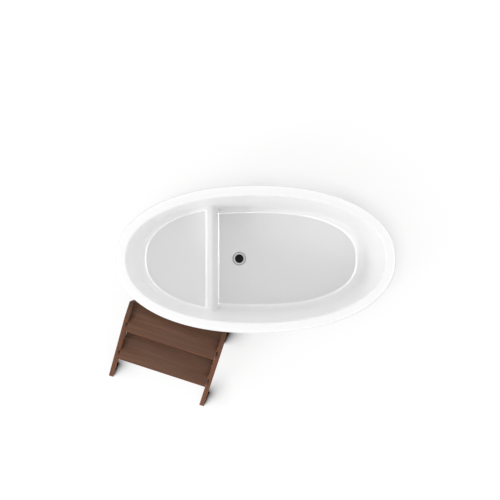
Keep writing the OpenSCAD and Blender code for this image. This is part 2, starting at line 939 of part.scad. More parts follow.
liner();
for (k = [0 : stave_count - 1])
    stave(k);
hoop(upper_hoop_z);  // upper_hoop
hoop(lower_hoop_z);  // lower_hoop
hoop_bolts();
rib(rim_under - rib_h);  // upper_rib
rib(deck_top);  // lower_rib
deck();
foam_pad();
bearer(-bearer_pitch);  // left_bearer
bearer(0);  // middle_bearer
bearer(bearer_pitch);  // right_bearer
seat_rib(-seat_edge - front_rib_back);  // front_seat_rib
seat_rib(-seat_edge - rear_rib_back);  // rear_seat_rib
waste_body();
flange_gasket();
waste_washer();
waste_nut();
drain_elbow();
drain_pipe();
outlet_socket();
pipe_clips();
plug_cap();
plug_seal();
plug_stem();
plank(-1);  // left_plank
plank(1);  // right_plank
post(-1);  // left_post
post(1);  // right_post
lower_tread();
upper_tread();
rear_rail();
step_screws();
step_feet();
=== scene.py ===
import json
import math

import bmesh
import bpy
import numpy as np
from bpy.props import FloatProperty, FloatVectorProperty, IntProperty, PointerProperty
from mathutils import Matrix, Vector


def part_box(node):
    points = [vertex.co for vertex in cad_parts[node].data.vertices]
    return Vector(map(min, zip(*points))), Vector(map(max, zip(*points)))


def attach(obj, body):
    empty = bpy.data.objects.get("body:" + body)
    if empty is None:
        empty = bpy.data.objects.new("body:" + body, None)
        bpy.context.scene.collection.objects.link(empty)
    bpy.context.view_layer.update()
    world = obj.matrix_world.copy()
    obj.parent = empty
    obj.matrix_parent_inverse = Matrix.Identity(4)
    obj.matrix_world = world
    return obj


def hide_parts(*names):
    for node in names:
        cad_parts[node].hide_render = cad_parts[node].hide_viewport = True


bl_info = {
    "name": "Oval plunge tub",
    "version": (1, 0, 0),
    "blender": (4, 5, 0),
    "location": "3D View > Sidebar > Tub",
    "description": "Makes a moulded plunge tub in a stave shell, its waste and its timber step",
    "category": "Object",
}

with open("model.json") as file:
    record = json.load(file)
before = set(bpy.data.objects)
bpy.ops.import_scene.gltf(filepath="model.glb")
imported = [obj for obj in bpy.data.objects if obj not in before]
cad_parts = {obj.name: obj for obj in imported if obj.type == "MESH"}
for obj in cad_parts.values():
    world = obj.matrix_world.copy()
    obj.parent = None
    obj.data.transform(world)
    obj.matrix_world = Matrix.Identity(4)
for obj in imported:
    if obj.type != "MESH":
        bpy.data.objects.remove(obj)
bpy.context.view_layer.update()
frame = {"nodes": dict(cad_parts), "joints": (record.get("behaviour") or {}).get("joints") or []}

RIM_LOW, RIM_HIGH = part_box("liner")
STAVE_LOW, STAVE_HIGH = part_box("stave_01")
SEAT_RIB_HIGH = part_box("front_seat_rib")[1]
FLANGE_LOW, FLANGE_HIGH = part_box("waste_body")
STEP_AWAY = Vector(next(j["axis"] for j in frame["joints"] if j["name"] == "steps_pull"))


# Sizes and colours that a user may change


def metres(name, description, default, **limits):
    """A length setting in metres."""
    return FloatProperty(name=name, description=description, default=default, unit="LENGTH",
                         subtype="DISTANCE", precision=4, **limits)


def colour(name, description, default):
    """A colour setting."""
    return FloatVectorProperty(name=name, description=description, default=default, subtype="COLOR",
                               min=0.0, max=1.0, size=3)


class LinerSettings(bpy.types.PropertyGroup):
    """Sizes and finish of the moulded liner"""

    length: metres("Length", "Length over the rim", RIM_HIGH.x - RIM_LOW.x)
    width: metres("Width", "Width over the rim", RIM_HIGH.y - RIM_LOW.y)
    height: metres("Height", "Height of the rim above the ground", RIM_HIGH.z)
    fullness: FloatProperty(name="Fullness", description="Fullness of the rim's oval, where 2 is an ellipse",
                            default=2.17)
    wall: metres("Wall", "Thickness of the moulding", 0.008)
    rim: metres("Rim", "Width of the flat rim", 0.046)
    lip: metres("Lip", "Depth of the rim's turned-down lip", 0.040)
    lip_radius: metres("Lip radius", "Radius of the rim's outer top edge", 0.007)
    roll: metres("Inner roll", "Radius where the rim turns down into the basin", 0.009)
    floor: metres("Floor height", "Height of the basin's floor", RIM_LOW.z + 0.008)
    floor_length: metres("Floor half length", "Half length of the flat floor", 0.528)
    floor_width: metres("Floor half width", "Half width of the flat floor", 0.244)
    floor_fullness: FloatProperty(name="Floor fullness", description="Fullness of the floor's outline",
                                  default=2.45)
    cove_length: metres("Fillet along", "Reach of the floor's fillet along the tub", 0.050)
    cove_width: metres("Fillet across", "Reach of the floor's fillet across the tub", 0.027)
    cove_height: metres("Fillet height", "Height of the fillets round the floor and the seat", 0.045)
    seat: metres("Seat height", "Height of the seat", SEAT_RIB_HIGH.z + 0.008)
    seat_side: metres("Seat fillet across", "Reach of the seat's fillet across the tub", 0.0184)
    seat_end: metres("Seat fillet along", "Reach of the seat's fillet along the tub", 0.0413)
    edge_place: metres("Seat edge", "Distance of the seat's front edge from the middle", 0.260)
    edge_radius: metres("Seat edge radius", "Radius of the seat's front edge", 0.036)
    draft: FloatProperty(name="Riser draft", description="Lean of the seat's riser", default=math.radians(5),
                         unit="ROTATION", subtype="ANGLE")
    base_radius: metres("Riser foot radius", "Radius where the riser meets the floor", 0.012)
    corner_radius: metres("Riser corner radius", "Radius where the riser meets the side walls", 0.013)
    colour: colour("Colour", "Colour of the white satin walls", (0.975, 0.973, 0.976))
    # The rim's colour is painted shade: the same moulding as the walls, made greyer because the rim faces the
    # whole sky.
    rim_colour: colour("Rim colour", "Colour of the rim", (0.846, 0.845, 0.847))
    # The level floor and seat are simply greyer and rougher than the walls; no non-slip texture is modelled.
    flat_colour: colour("Flat colour", "Colour of the matt, non-slip floor and seat", (0.805, 0.804, 0.808))
    roughness: FloatProperty(name="Roughness", description="Roughness of the moulding's satin walls",
                             default=0.30, min=0.0, max=1.0)


class TimberSettings(bpy.types.PropertyGroup):
    """Sizes and colours of the staves and the step"""

    staves: IntProperty(name="Staves", description="Number of staves round the oval", default=26, min=8)
    thickness: metres("Stave thickness", "Thickness of a stave", 0.018)
    overhang: metres("Rim overhang", "How far the rim overhangs the staves", 0.018)
    bevel: metres("Stave bevel", "Width of the rounded bevel on each stave's outer corners", 0.003)
    gap: metres("Stave gap", "Hairline gap between two staves", 0.0002)
    slot: metres("Outlet slot radius", "Radius of the slot that the outlet comes out of", 0.027)
    ease: metres("Eased edges", "Radius of the step's sanded edges", 0.0016)
    dark: colour("Dark timber", "Colour of the late wood", (0.108, 0.050, 0.0285))
    light: colour("Light timber", "Colour of the early wood", (0.188, 0.094, 0.056))
    seed: IntProperty(name="Seed", description="Seed of the tone of each board", default=7)


class MetalSettings(bpy.types.PropertyGroup):
    """Finish of the metal pieces"""

    steel: colour("Steel", "Colour of the brushed steel", (0.47, 0.48, 0.49))
    chrome: colour("Chrome", "Colour of the polished waste", (0.50, 0.51, 0.52))
    steel_roughness: FloatProperty(name="Steel roughness", description="Roughness of the brushed steel",
                                   default=0.32, min=0.0, max=1.0)


class StageSettings(bpy.types.PropertyGroup):
    """Camera, floor and light"""

    camera_x: metres("Camera along", "Place of the camera along the tub", -0.0303)
    camera_y: metres("Camera across", "Place of the camera across the tub", 0.0455)
    camera_z: metres("Camera height", "Height of the camera above the floor", 14.2)
    lens: FloatProperty(name="Lens", description="Focal length in millimetres", default=192.36, min=1.0)
    sky: FloatProperty(name="Sky", description="Strength of the light from all round", default=0.155, min=0.0)
    shoulder: FloatProperty(name="Shoulder light", description="Extra strength of the light from half way up",
                            default=0.906, min=0.0)
    zenith: FloatProperty(name="Zenith light", description="Extra strength of the light from straight above",
                          default=0.464, min=0.0)
    ring: FloatProperty(name="Ring", description="Strength of the ring that glossy fillets reflect",
                        default=14.0, min=0.0)
    key: FloatProperty(name="Key lamp", description="Power of the soft lamp in watts", default=515.0, min=0.0)
    shadow: FloatProperty(name="Shadow", default=0.14, min=0.0, max=1.0,
                          description="Share of the floor's brightness that the shadows can take")
    contact: FloatProperty(name="Contact shadow", default=1.3, min=0.0,
                           description="Depth of the shadow where pieces touch the floor")
    wide: FloatProperty(name="Wide shadow", default=0.22, min=0.0,
                        description="Depth of the soft shadow further away")


# Node trees written as expressions


class Signal:
    """A socket of a node tree that can be added, multiplied and compared."""

    def __init__(self, graph, socket):
        self.graph = graph
        self.socket = socket

    def apply(self, operation, a, b=0.0):
        vectors = [v for v in (a, b)
                   if isinstance(v, tuple) or (isinstance(v, Signal) and v.socket.type == "VECTOR")]
        if not vectors:
            return self.graph.node("ShaderNodeMath", {"operation": operation}, {0: a, 1: b})
        if operation == "MULTIPLY" and len(vectors) == 1:
            vector, number = (a, b) if vectors[0] is a else (b, a)
            scaled = {"Vector": vector, "Scale": number}
            return self.graph.node("ShaderNodeVectorMath", {"operation": "SCALE"}, scaled)
        return self.graph.node("ShaderNodeVectorMath", {"operation": operation}, {0: a, 1: b})

    def __add__(self, other):
        return self.apply("ADD", self, other)

    def __radd__(self, other):
        return self.apply("ADD", other, self)

    def __sub__(self, other):
        return self.apply("SUBTRACT", self, other)

    def __rsub__(self, other):
        return self.apply("SUBTRACT", other, self)

    def __mul__(self, other):
        return self.apply("MULTIPLY", self, other)

    def __rmul__(self, other):
        return self.apply("MULTIPLY", other, self)

    def __truediv__(self, other):
        return self.apply("DIVIDE", self, other)

    def __rtruediv__(self, other):
        return self.apply("DIVIDE", other, self)

    def __pow__(self, other):
        return self.apply("POWER", self, other)

    def maths(self, operation, other=0.0):
        """Any other operation of a Math node on this signal."""
        return self.apply(operation, self, other)

    def signed_power(self, exponent):
        """The power of the size of this number, with the number's sign."""
        return self.maths("SIGN") * self.maths("ABSOLUTE").maths("MAXIMUM", 1e-9) ** exponent

    def between(self, low, high):
        """0 below low, 1 above high and smooth between them."""
        return self.graph.node("ShaderNodeMapRange", {"interpolation_type": "SMOOTHSTEP"},
                               {"Value": self, "From Min": low, "From Max": high})


def find_socket(sockets, key):
    """The socket with this number, identifier or name, one that is in use first."""
    if isinstance(key, int):
        return sockets[key]
    fitting = [s for s in sockets if key in (s.identifier, s.name)]
    if not fitting:
        raise KeyError(f"no socket {key!r} among {[s.name for s in sockets]}")
    return next((s for s in fitting if s.enabled), fitting[0])


class Graph:
    """A node tree and the one method that adds nodes to it."""

    def __init__(self, tree):
        self.tree = tree

    def node(self, kind, settings=None, inputs=None, out=0):
        """Adds a node with its settings, then its inputs' values or links, and returns the named output."""
        made = self.tree.nodes.new(kind)
        for name, value in (settings or {}).items():
            if name == "stops":
                ramp = made.color_ramp.elements
                while len(ramp) < len(value):
                    ramp.new(0.5)
                for stop, (place, shade) in zip(ramp, value):
                    stop.position = place
                    stop.color = (*shade, 1.0)
            else:
                setattr(made, name, value)
        for key, value in (inputs or {}).items():
            socket = find_socket(made.inputs, key)
            for one in value if isinstance(value, list) else [value]:
                if isinstance(one, Signal):
                    self.tree.links.new(one.socket, socket)
                elif socket.type == "RGBA" and len(one) == 3:
                    socket.default_value = (*one, 1.0)
                else:
                    socket.default_value = one
        if isinstance(out, tuple):
            return tuple(Signal(self, find_socket(made.outputs, key)) for key in out)
        return Signal(self, find_socket(made.outputs, out)) if len(made.outputs) else made

    def mix(self, factor, a, b):
        """A colour between two others."""
        return self.node("ShaderNodeMix", {"data_type": "RGBA", "clamp_factor": True},
                         {"Factor_Float": factor, "A_Color": a, "B_Color": b}, "Result_Color")

    def noise(self, vector, scale, detail=3.0, rough=0.55, distortion=0.0):
        """A noise pattern between 0 and 1."""
        return self.node("ShaderNodeTexNoise", {"normalize": True},
                         {"Vector": vector, "Scale": scale, "Detail": detail, "Roughness": rough,
                          "Distortion": distortion}, "Fac")

    def stretched(self, vector, factors):
        """The vector times a factor along each axis."""
        return self.node("ShaderNodeVectorMath", {"operation": "MULTIPLY"}, {0: vector, 1: factors})

    def bump(self, height, strength, distance):
        """A surface normal disturbed by a height."""
        return self.node("ShaderNodeBump", {}, {"Height": height, "Strength": strength, "Distance": distance},
                         "Normal")


# Materials


def empty_graph(block):
    """The emptied node tree of a material or a world."""
    block.use_nodes = True
    block.node_tree.nodes.clear()
    return Graph(block.node_tree)


def surface(name, build):
    """A material whose principled shader takes the sockets that build returns for its graph."""
    material = bpy.data.materials.new(name)
    graph = empty_graph(material)
    shader = graph.node("ShaderNodeBsdfPrincipled", {}, build(graph), "BSDF")
    graph.node("ShaderNodeOutputMaterial", {}, {"Surface": shader})
    material.diffuse_color = (0.7, 0.7, 0.7, 1.0)
    return material


def place(graph):
    """The point on the piece in metres."""
    return graph.node("ShaderNodeTexCoord", {}, {}, "Object")


def white_moulding(settings):
    """White moulding: satin walls, glossy fillets, a matt and greyer level floor and seat, and a rim greyed
    as painted shade.
    """
    tint = tuple(settings.colour)
    warm = tuple(c * s for c, s in zip(tint, (0.995, 0.993, 0.990)))
    top = settings.height

    def build(g):
        at, facing = g.node("ShaderNodeTexCoord", {}, {}, ("Object", "Normal"))
        cloud = g.noise(at, 2.2, 2.0)
        height = g.node("ShaderNodeSeparateXYZ", {}, {"Vector": at}, "Z")
        across, tilt = g.node("ShaderNodeSeparateXYZ", {}, {"Vector": facing}, ("X", "Z"))
        low = 1.0 - height.between(settings.floor + 0.02, settings.floor + 0.05)
        riser_foot = across.between(0.02, 0.08) * low
        basin = 1.0 - height.between(top - 0.006, top - 0.0005)
        flat = tilt.between(0.994, 0.9995) * basin
        # The riser's foot is the narrowest fillet, so it gets the most gloss
        polish = (tilt.between(0.90, 0.96) * basin - flat) * (0.14 + 0.52 * riser_foot)
        satin = g.mix(cloud.between(0.35, 0.75) * 0.5, tint, warm)
        # Painted shade: the rim gets a greyer colour than the walls, so that it renders less bright.
        white = g.mix(basin, tuple(settings.rim_colour), satin)
        return {
            # The level floor and seat get the greyer flat colour.
            "Base Color": g.mix(flat, white, tuple(settings.flat_colour)),
            "Roughness": settings.roughness - 0.03 + 0.06 * g.noise(at, 14.0, 3.0) + flat * 0.15,
            "IOR": 1.49,
            "Specular IOR Level": 0.3,
            "Coat Weight": polish,
            "Coat Roughness": 0.03,
            "Coat IOR": 3.4,
        }

    return surface("white moulding", build)


def brown_timber(settings):
    """Oiled brown timber with rings, fibres and pores along each board, warmer on its sloping and upright
    faces than on its level tops.
    """
    dark, light = tuple(settings.dark), tuple(settings.light)
    deep = tuple(0.62 * c for c in dark)
    amber = (light[0] * 1.12, light[1] * 0.98, light[2] * 0.86)

    def build(g):
        grain = g.node("ShaderNodeAttribute", {"attribute_name": "grain"}, {}, "Vector")
        board = g.node("ShaderNodeAttribute", {"attribute_name": "board"}, {}, "Fac")
        shift = g.node("ShaderNodeCombineXYZ", {}, {
            "X": board * 7.3, "Y": board * 0.9 - 0.45, "Z": board * 3.1})
        at = grain + shift
        wander = g.noise(g.stretched(at, (1.1, 4.0, 4.0)), 1.6, 2.0)
        ripple = g.noise(g.stretched(at, (5.0, 30.0, 30.0)), 1.0, 2.0)
        y, z = g.node("ShaderNodeSeparateXYZ", {}, {"Vector": grain}, ("Y", "Z"))
        across = y + (board - 0.5) * 0.10 + (wander - 0.5) * 0.11
        depth = z - 0.055 - board * 0.05
        radius = (across * across + depth * depth) ** 0.5 + (ripple - 0.5) * 0.004
        ring = (radius * (150.0 + board * 60.0)).maths("FRACT")
        late = ring.between(0.35, 0.92) - ring.between(0.94, 1.0)
        fibre = g.noise(g.stretched(at, (7.0, 420.0, 420.0)), 1.0, 3.0, 0.6)
        streak = g.noise(g.stretched(at, (1.6, 55.0, 55.0)), 1.0, 3.0, 0.6)
        pores = g.noise(g.stretched(at, (42.0, 1150.0, 1150.0)), 1.0, 1.0).between(0.63, 0.72)
        tone = 0.42 + (board - 0.5) * 0.34 + (streak - 0.5) * 1.1 + (fibre - 0.5) * 0.7
        base = g.mix(tone.maths("MAXIMUM", 0.0).maths("MINIMUM", 1.0), dark, light)
        base = g.mix(late * 0.22, base, deep)
        base = g.mix(streak.between(0.56, 0.74) * 0.35, base, amber)
        base = g.mix(pores * 0.45, base, deep)
        facing = g.node("ShaderNodeTexCoord", {}, {}, "Normal")
        # Level tops keep the plain colour; sloping and upright faces are made warmer and more orange.
        level_top = g.node("ShaderNodeSeparateXYZ", {}, {"Vector": facing}, "Z").between(0.80, 0.97)
        base = g.mix(level_top, g.stretched(base, (1.14, 0.93, 0.78)), base)
        relief = fibre * 0.6 - pores * 0.5 + late * 0.25
        return {
            "Base Color": base,
            "Roughness": 0.50 + (fibre - 0.5) * 0.22 + pores * 0.15 - late * 0.06,
            "IOR": 1.33,
            "Specular IOR Level": 0.22,
            "Normal": g.bump(relief, 0.35, 0.0006),
        }

    return surface("brown timber", build)


def framing_timber():
    """Pale sawn softwood of the bearers, with its rings across the bearer's end."""

    def build(g):
        at = place(g)
        wander = g.noise(g.stretched(at, (3.0, 0.9, 3.0)), 1.5, 2.0)
        x, z = g.node("ShaderNodeSeparateXYZ", {}, {"Vector": at}, ("X", "Z"))
        across = (x * 2.3256).maths("FRACT") * 0.43 - 0.215 + (wander - 0.5) * 0.05
        height = z + 0.05
        ring = (((across * across + height * height) ** 0.5) * 170.0).maths("FRACT")
        fibre = g.noise(g.stretched(at, (300.0, 6.0, 300.0)), 1.0, 3.0)
        late = ring.between(0.4, 0.95) - ring.between(0.96, 1.0)
        base = g.mix(late * 0.7, (0.58, 0.43, 0.26), (0.40, 0.25, 0.12))
        return {
            "Base Color": g.mix(fibre.between(0.45, 0.8) * 0.4, base, (0.33, 0.22, 0.12)),
            "Roughness": 0.62 + (fibre - 0.5) * 0.25,
            "Normal": g.bump(fibre + late * 0.4, 0.3, 0.0006),
        }

    return surface("framing timber", build)


def plywood():
    """Birch plywood: a quiet figure on its faces and its plies in layers."""

    def build(g):
        at = place(g)
        z = g.node("ShaderNodeSeparateXYZ", {}, {"Vector": at}, "Z")
        figure = g.noise(g.stretched(at, (2.0, 26.0, 26.0)), 1.0, 4.0, 0.6)
        fibre = g.noise(g.stretched(at, (12.0, 500.0, 500.0)), 1.0, 2.0)
        ply = (z * 333.3).maths("FRACT")
        layer = ply.between(0.42, 0.5) - ply.between(0.92, 1.0)
        base = g.mix(figure.between(0.35, 0.75), (0.62, 0.49, 0.31), (0.50, 0.36, 0.20))
        return {
            "Base Color": g.mix(layer * 0.28 + (fibre - 0.5) * 0.5, base, (0.36, 0.24, 0.13)),
            "Roughness": 0.55 + (fibre - 0.5) * 0.3,
            "Normal": g.bump(fibre, 0.2, 0.0004),
        }

    return surface("plywood", build)


def brushed_steel(settings, along=(4.0, 4.0, 420.0)):
    """Stainless steel brushed round the hoop."""

    def build(g):
        at = place(g)
        brush = g.noise(g.stretched(at, along), 1.0, 3.0, 0.65)
        cloud = g.noise(at, 9.0, 2.0)
        base = tuple(settings.steel)
        return {
            "Base Color": g.mix(brush * 0.5, base, tuple(0.82 * c for c in base)),
            "Metallic": 1.0,
            "Roughness": settings.steel_roughness + (brush - 0.5) * 0.22 + (cloud - 0.5) * 0.10,
            "Normal": g.bump(brush, 0.12, 0.0003),
        }

    return surface("brushed steel", build)


def chrome(settings):
    """Polished plated brass of the waste, with faint wiping marks and a painted dark reflection on its
    sloping edge.
    """
    bright = tuple(settings.chrome)

    def build(g):
        at, facing = g.node("ShaderNodeTexCoord", {}, {}, ("Object", "Normal"))
        wipe = g.noise(at, 160.0, 2.0)
        # Painted reflection: the flange's sloping edge is darkened to stand in for the dark surroundings that
        # it would reflect.
        top = g.node("ShaderNodeSeparateXYZ", {}, {"Vector": facing}, "Z").between(0.96, 0.985)
        return {
            "Base Color": g.mix(top, tuple(0.52 * c for c in bright), bright),
            "Metallic": 1.0,
            "Roughness": 0.05 + wipe.between(0.45, 0.75) * 0.04,
        }

    return surface("chrome", build)


def black_rubber():
    """Moulded black rubber, matt where it has been handled."""

    def build(g):
        at = place(g)
        dust = g.noise(at, 240.0, 3.0)
        return {
            "Base Color": g.mix(dust.between(0.45, 0.8) * 0.6, (0.003, 0.003, 0.003), (0.009, 0.009, 0.009)),
            "Roughness": 0.46 + dust * 0.2,
            "Specular IOR Level": 0.08,
            "Normal": g.bump(dust, 0.15, 0.0003),
        }

    return surface("black rubber", build)


def pipe_plastic():
    """Grey pipe plastic with a slightly pebbled skin."""

    def build(g):
        at = place(g)
        skin = g.noise(at, 420.0, 2.0)
        cloud = g.noise(at, 20.0, 2.0)
        return {
            "Base Color": g.mix(cloud, (0.235, 0.245, 0.255), (0.275, 0.28, 0.285)),
            "Roughness": 0.38 + skin * 0.12,
            "Normal": g.bump(skin, 0.08, 0.0003),
        }

    return surface("pipe plastic", build)


def foam():
    """Closed-cell foam."""

    def build(g):
        at = place(g)
        edge = g.node("ShaderNodeTexVoronoi", {"feature": "F1"}, {"Vector": at, "Scale": 420.0}, "Distance")
        return {
            "Base Color": g.mix(edge, (0.060, 0.064, 0.070), (0.13, 0.135, 0.14)),
            "Roughness": 0.85 + edge * 0.1,
            "Normal": g.bump(edge, 0.4, 0.0006),
        }

    return surface("closed-cell foam", build)


MATERIALS = {}


def finish(name):
    """The material of this name, made the first time it is asked for."""
    settings = bpy.context.scene
    makers = {
        "white moulding": lambda: white_moulding(settings.tub_liner),
        "brown timber": lambda: brown_timber(settings.tub_timber),
        "framing timber": framing_timber,
        "plywood": plywood,
        "brushed steel": lambda: brushed_steel(settings.tub_metal),
        "chrome": lambda: chrome(settings.tub_metal),
        "black rubber": black_rubber,
        "pipe plastic": pipe_plastic,
        "foam": foam,
    }
    if name not in MATERIALS:
        MATERIALS[name] = makers[name]()
    return MATERIALS[name]


def finish_node(node, material):
    """Gives a CAD node a material."""
    obj = frame["nodes"][node]
    if not obj.material_slots:
        obj.data.materials.append(material)
    for slot in obj.material_slots:
        slot.material = material


# Pieces and meshes


def mesh_of(name, points, faces):
    """A mesh from arrays of points and faces."""
    mesh = bpy.data.meshes.new(name)
    mesh.from_pydata([tuple(p) for p in points], [], [tuple(f) for f in faces])
    mesh.update()
    return mesh


def add_piece(name, mesh, material, body, nodes, angle=35.0):
    """Puts a finished mesh in the scene, smooth but for sharp edges, on its body and for its nodes."""
    if not len(mesh.polygons):
        raise RuntimeError(f"{name} has no faces")
    if not mesh.materials:
        mesh.materials.append(material)
    mesh.shade_smooth()
    mesh.set_sharp_from_angle(angle=math.radians(angle))
    obj = bpy.data.objects.new(name, mesh)
    bpy.context.scene.collection.objects.link(obj)
    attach(obj, body)
    if nodes:
        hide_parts(*nodes)
    return obj


def merged_mesh(node):
    """A merged bmesh of a CAD node's loose triangles, with its flat faces whole."""
    source = frame["nodes"][node].data
    bm = bmesh.new()
    points = [bm.verts.new(v.co) for v in source.vertices]
    for polygon in source.polygons:
        try:
            bm.faces.new([points[i] for i in polygon.vertices])
        except ValueError:
            continue
    bmesh.ops.remove_doubles(bm, verts=bm.verts, dist=2e-6)
    bmesh.ops.dissolve_limit(bm, angle_limit=math.radians(0.3), verts=bm.verts, edges=bm.edges)
    return bm


def ease_edges(bm, ease, shortest, keep=None):
    """Rounds the outer edges that are long enough, apart from those that keep names."""
    chosen = []
    for edge in bm.edges:
        if len(edge.link_faces) != 2 or not edge.is_convex or edge.calc_length() < shortest:
            continue
        if edge.calc_face_angle() < math.radians(35):
            continue
        middle = (edge.verts[0].co + edge.verts[1].co) / 2
        if keep and keep(edge, middle):
            continue
        chosen.append(edge)
    bmesh.ops.bevel(bm, geom=chosen, offset=ease, offset_type="OFFSET", segments=2, profile=0.5,
                    affect="EDGES", clamp_overlap=False)


def eased_mesh(node, ease, shortest, keep=None):
    """A CAD node's mesh with its outer edges rounded."""
    bm = merged_mesh(node)
    ease_edges(bm, ease, shortest, keep)
    mesh = bpy.data.meshes.new(node)
    bm.to_mesh(mesh)
    bm.free()
    return mesh


def store_grain(mesh, board, origin, along, across, through):
    """Stores each point's place along, across and through its board, and the board's own number."""
    points = np.empty(len(mesh.vertices) * 3, dtype=np.float32)
    mesh.vertices.foreach_get("co", points)
    axes = np.array([along, across, through], dtype=np.float64)
    local = (points.reshape(-1, 3) - np.array(origin)) @ axes.T
    grain = mesh.attributes.new("grain", "FLOAT_VECTOR", "POINT")
    grain.data.foreach_set("vector", local.astype(np.float32).ravel())
    number = mesh.attributes.new("board", "FLOAT", "FACE")
    number.data.foreach_set("value", np.full(len(mesh.polygons), board, dtype=np.float32))


# The moulded liner


def rounded_union(a, b, r):
    """Two spaces joined, with the corner between them rounded."""
    return np.maximum(r, np.minimum(a, b)) - np.hypot(np.maximum(r - a, 0), np.maximum(r - b, 0))


def rounded_meet(a, b, r):
    """What two spaces share, with the edge between them rounded."""
    return np.minimum(-r, np.maximum(a, b)) + np.hypot(np.maximum(r + a, 0), np.maximum(r + b, 0))


def oval_distance(x, y, a, b, fullness):
    """Distance outside an oval, and how steeply its gauge rises there."""
    u, v = np.abs(x) / a, np.abs(y) / b
    gauge = np.maximum((u**fullness + v**fullness) ** (1 / fullness), 1e-9)
    slope = np.hypot((u / gauge) ** (fullness - 1) / a, (v / gauge) ** (fullness - 1) / b)
    return (gauge - 1) / slope, slope


class Basin:
    """The shape of the moulding's upper surface as a signed distance, above 0 in the open air."""

    def __init__(self, s):
        self.s = s
        self.low = (s.floor_length + s.cove_length, s.floor_width + s.cove_width, s.floor_fullness)
        inner = s.rim + s.roll
        self.high = (s.length / 2 - inner, s.width / 2 - inner, s.fullness)

    def wall(self, x, y, z):
        """Distance outside the drafted wall."""
        s = self.s
        share = (z - s.floor - s.cove_height) / (s.height - s.roll - s.floor - s.cove_height)
        a, b, n = (low + (high - low) * share for low, high in zip(self.low, self.high))
        return oval_distance(x, y, a, b, n)

    def bench(self, x, z):
        """Distance below the floor, the seat and the riser between them."""
        s = self.s
        edge_z = s.seat - s.edge_radius + s.edge_radius * math.sin(s.draft)
        riser_x = -s.edge_place + s.edge_radius * math.cos(s.draft) + (edge_z - z) * math.tan(s.draft)
        foot = rounded_meet((riser_x - x) * math.cos(s.draft), s.floor - z, s.base_radius)
        return rounded_union(s.seat - z, foot, s.edge_radius)

    def air(self, x, y, z):
        """The basin's surface with its rolled rim: above 0 in the air, below 0 in the moulding."""
        s = self.s
        wall, slope = self.wall(x, y, z)
        bench = self.bench(x, z)
        step = 1e-4
        upright = np.clip(np.abs(self.bench(x + step, z) - self.bench(x - step, z)) / (2 * step), 0, 1) ** 2
        on_floor = 1 / (1 + np.exp(-(x + 0.19) / 0.012))
        side = s.seat_side + (s.cove_width - s.seat_side) * on_floor
        end = s.seat_end + (s.cove_length - s.seat_end) * on_floor
        ratio_side, ratio_end = side / self.low[1], end / self.low[0]
        turned = (slope * self.low[0]) ** -1.0
        lean = np.clip((turned - self.low[1] / self.low[0]) / (1 - self.low[1] / self.low[0]), 0, 1)
        reach = (ratio_side + (ratio_end - ratio_side) * lean) / slope
        across = reach + (s.corner_radius - reach) * upright
        upward = s.cove_height + (s.corner_radius - s.cove_height) * upright
        inside = rounded_meet(wall, bench * across / upward, across)
        return rounded_meet(-inside, z - s.height, s.roll)


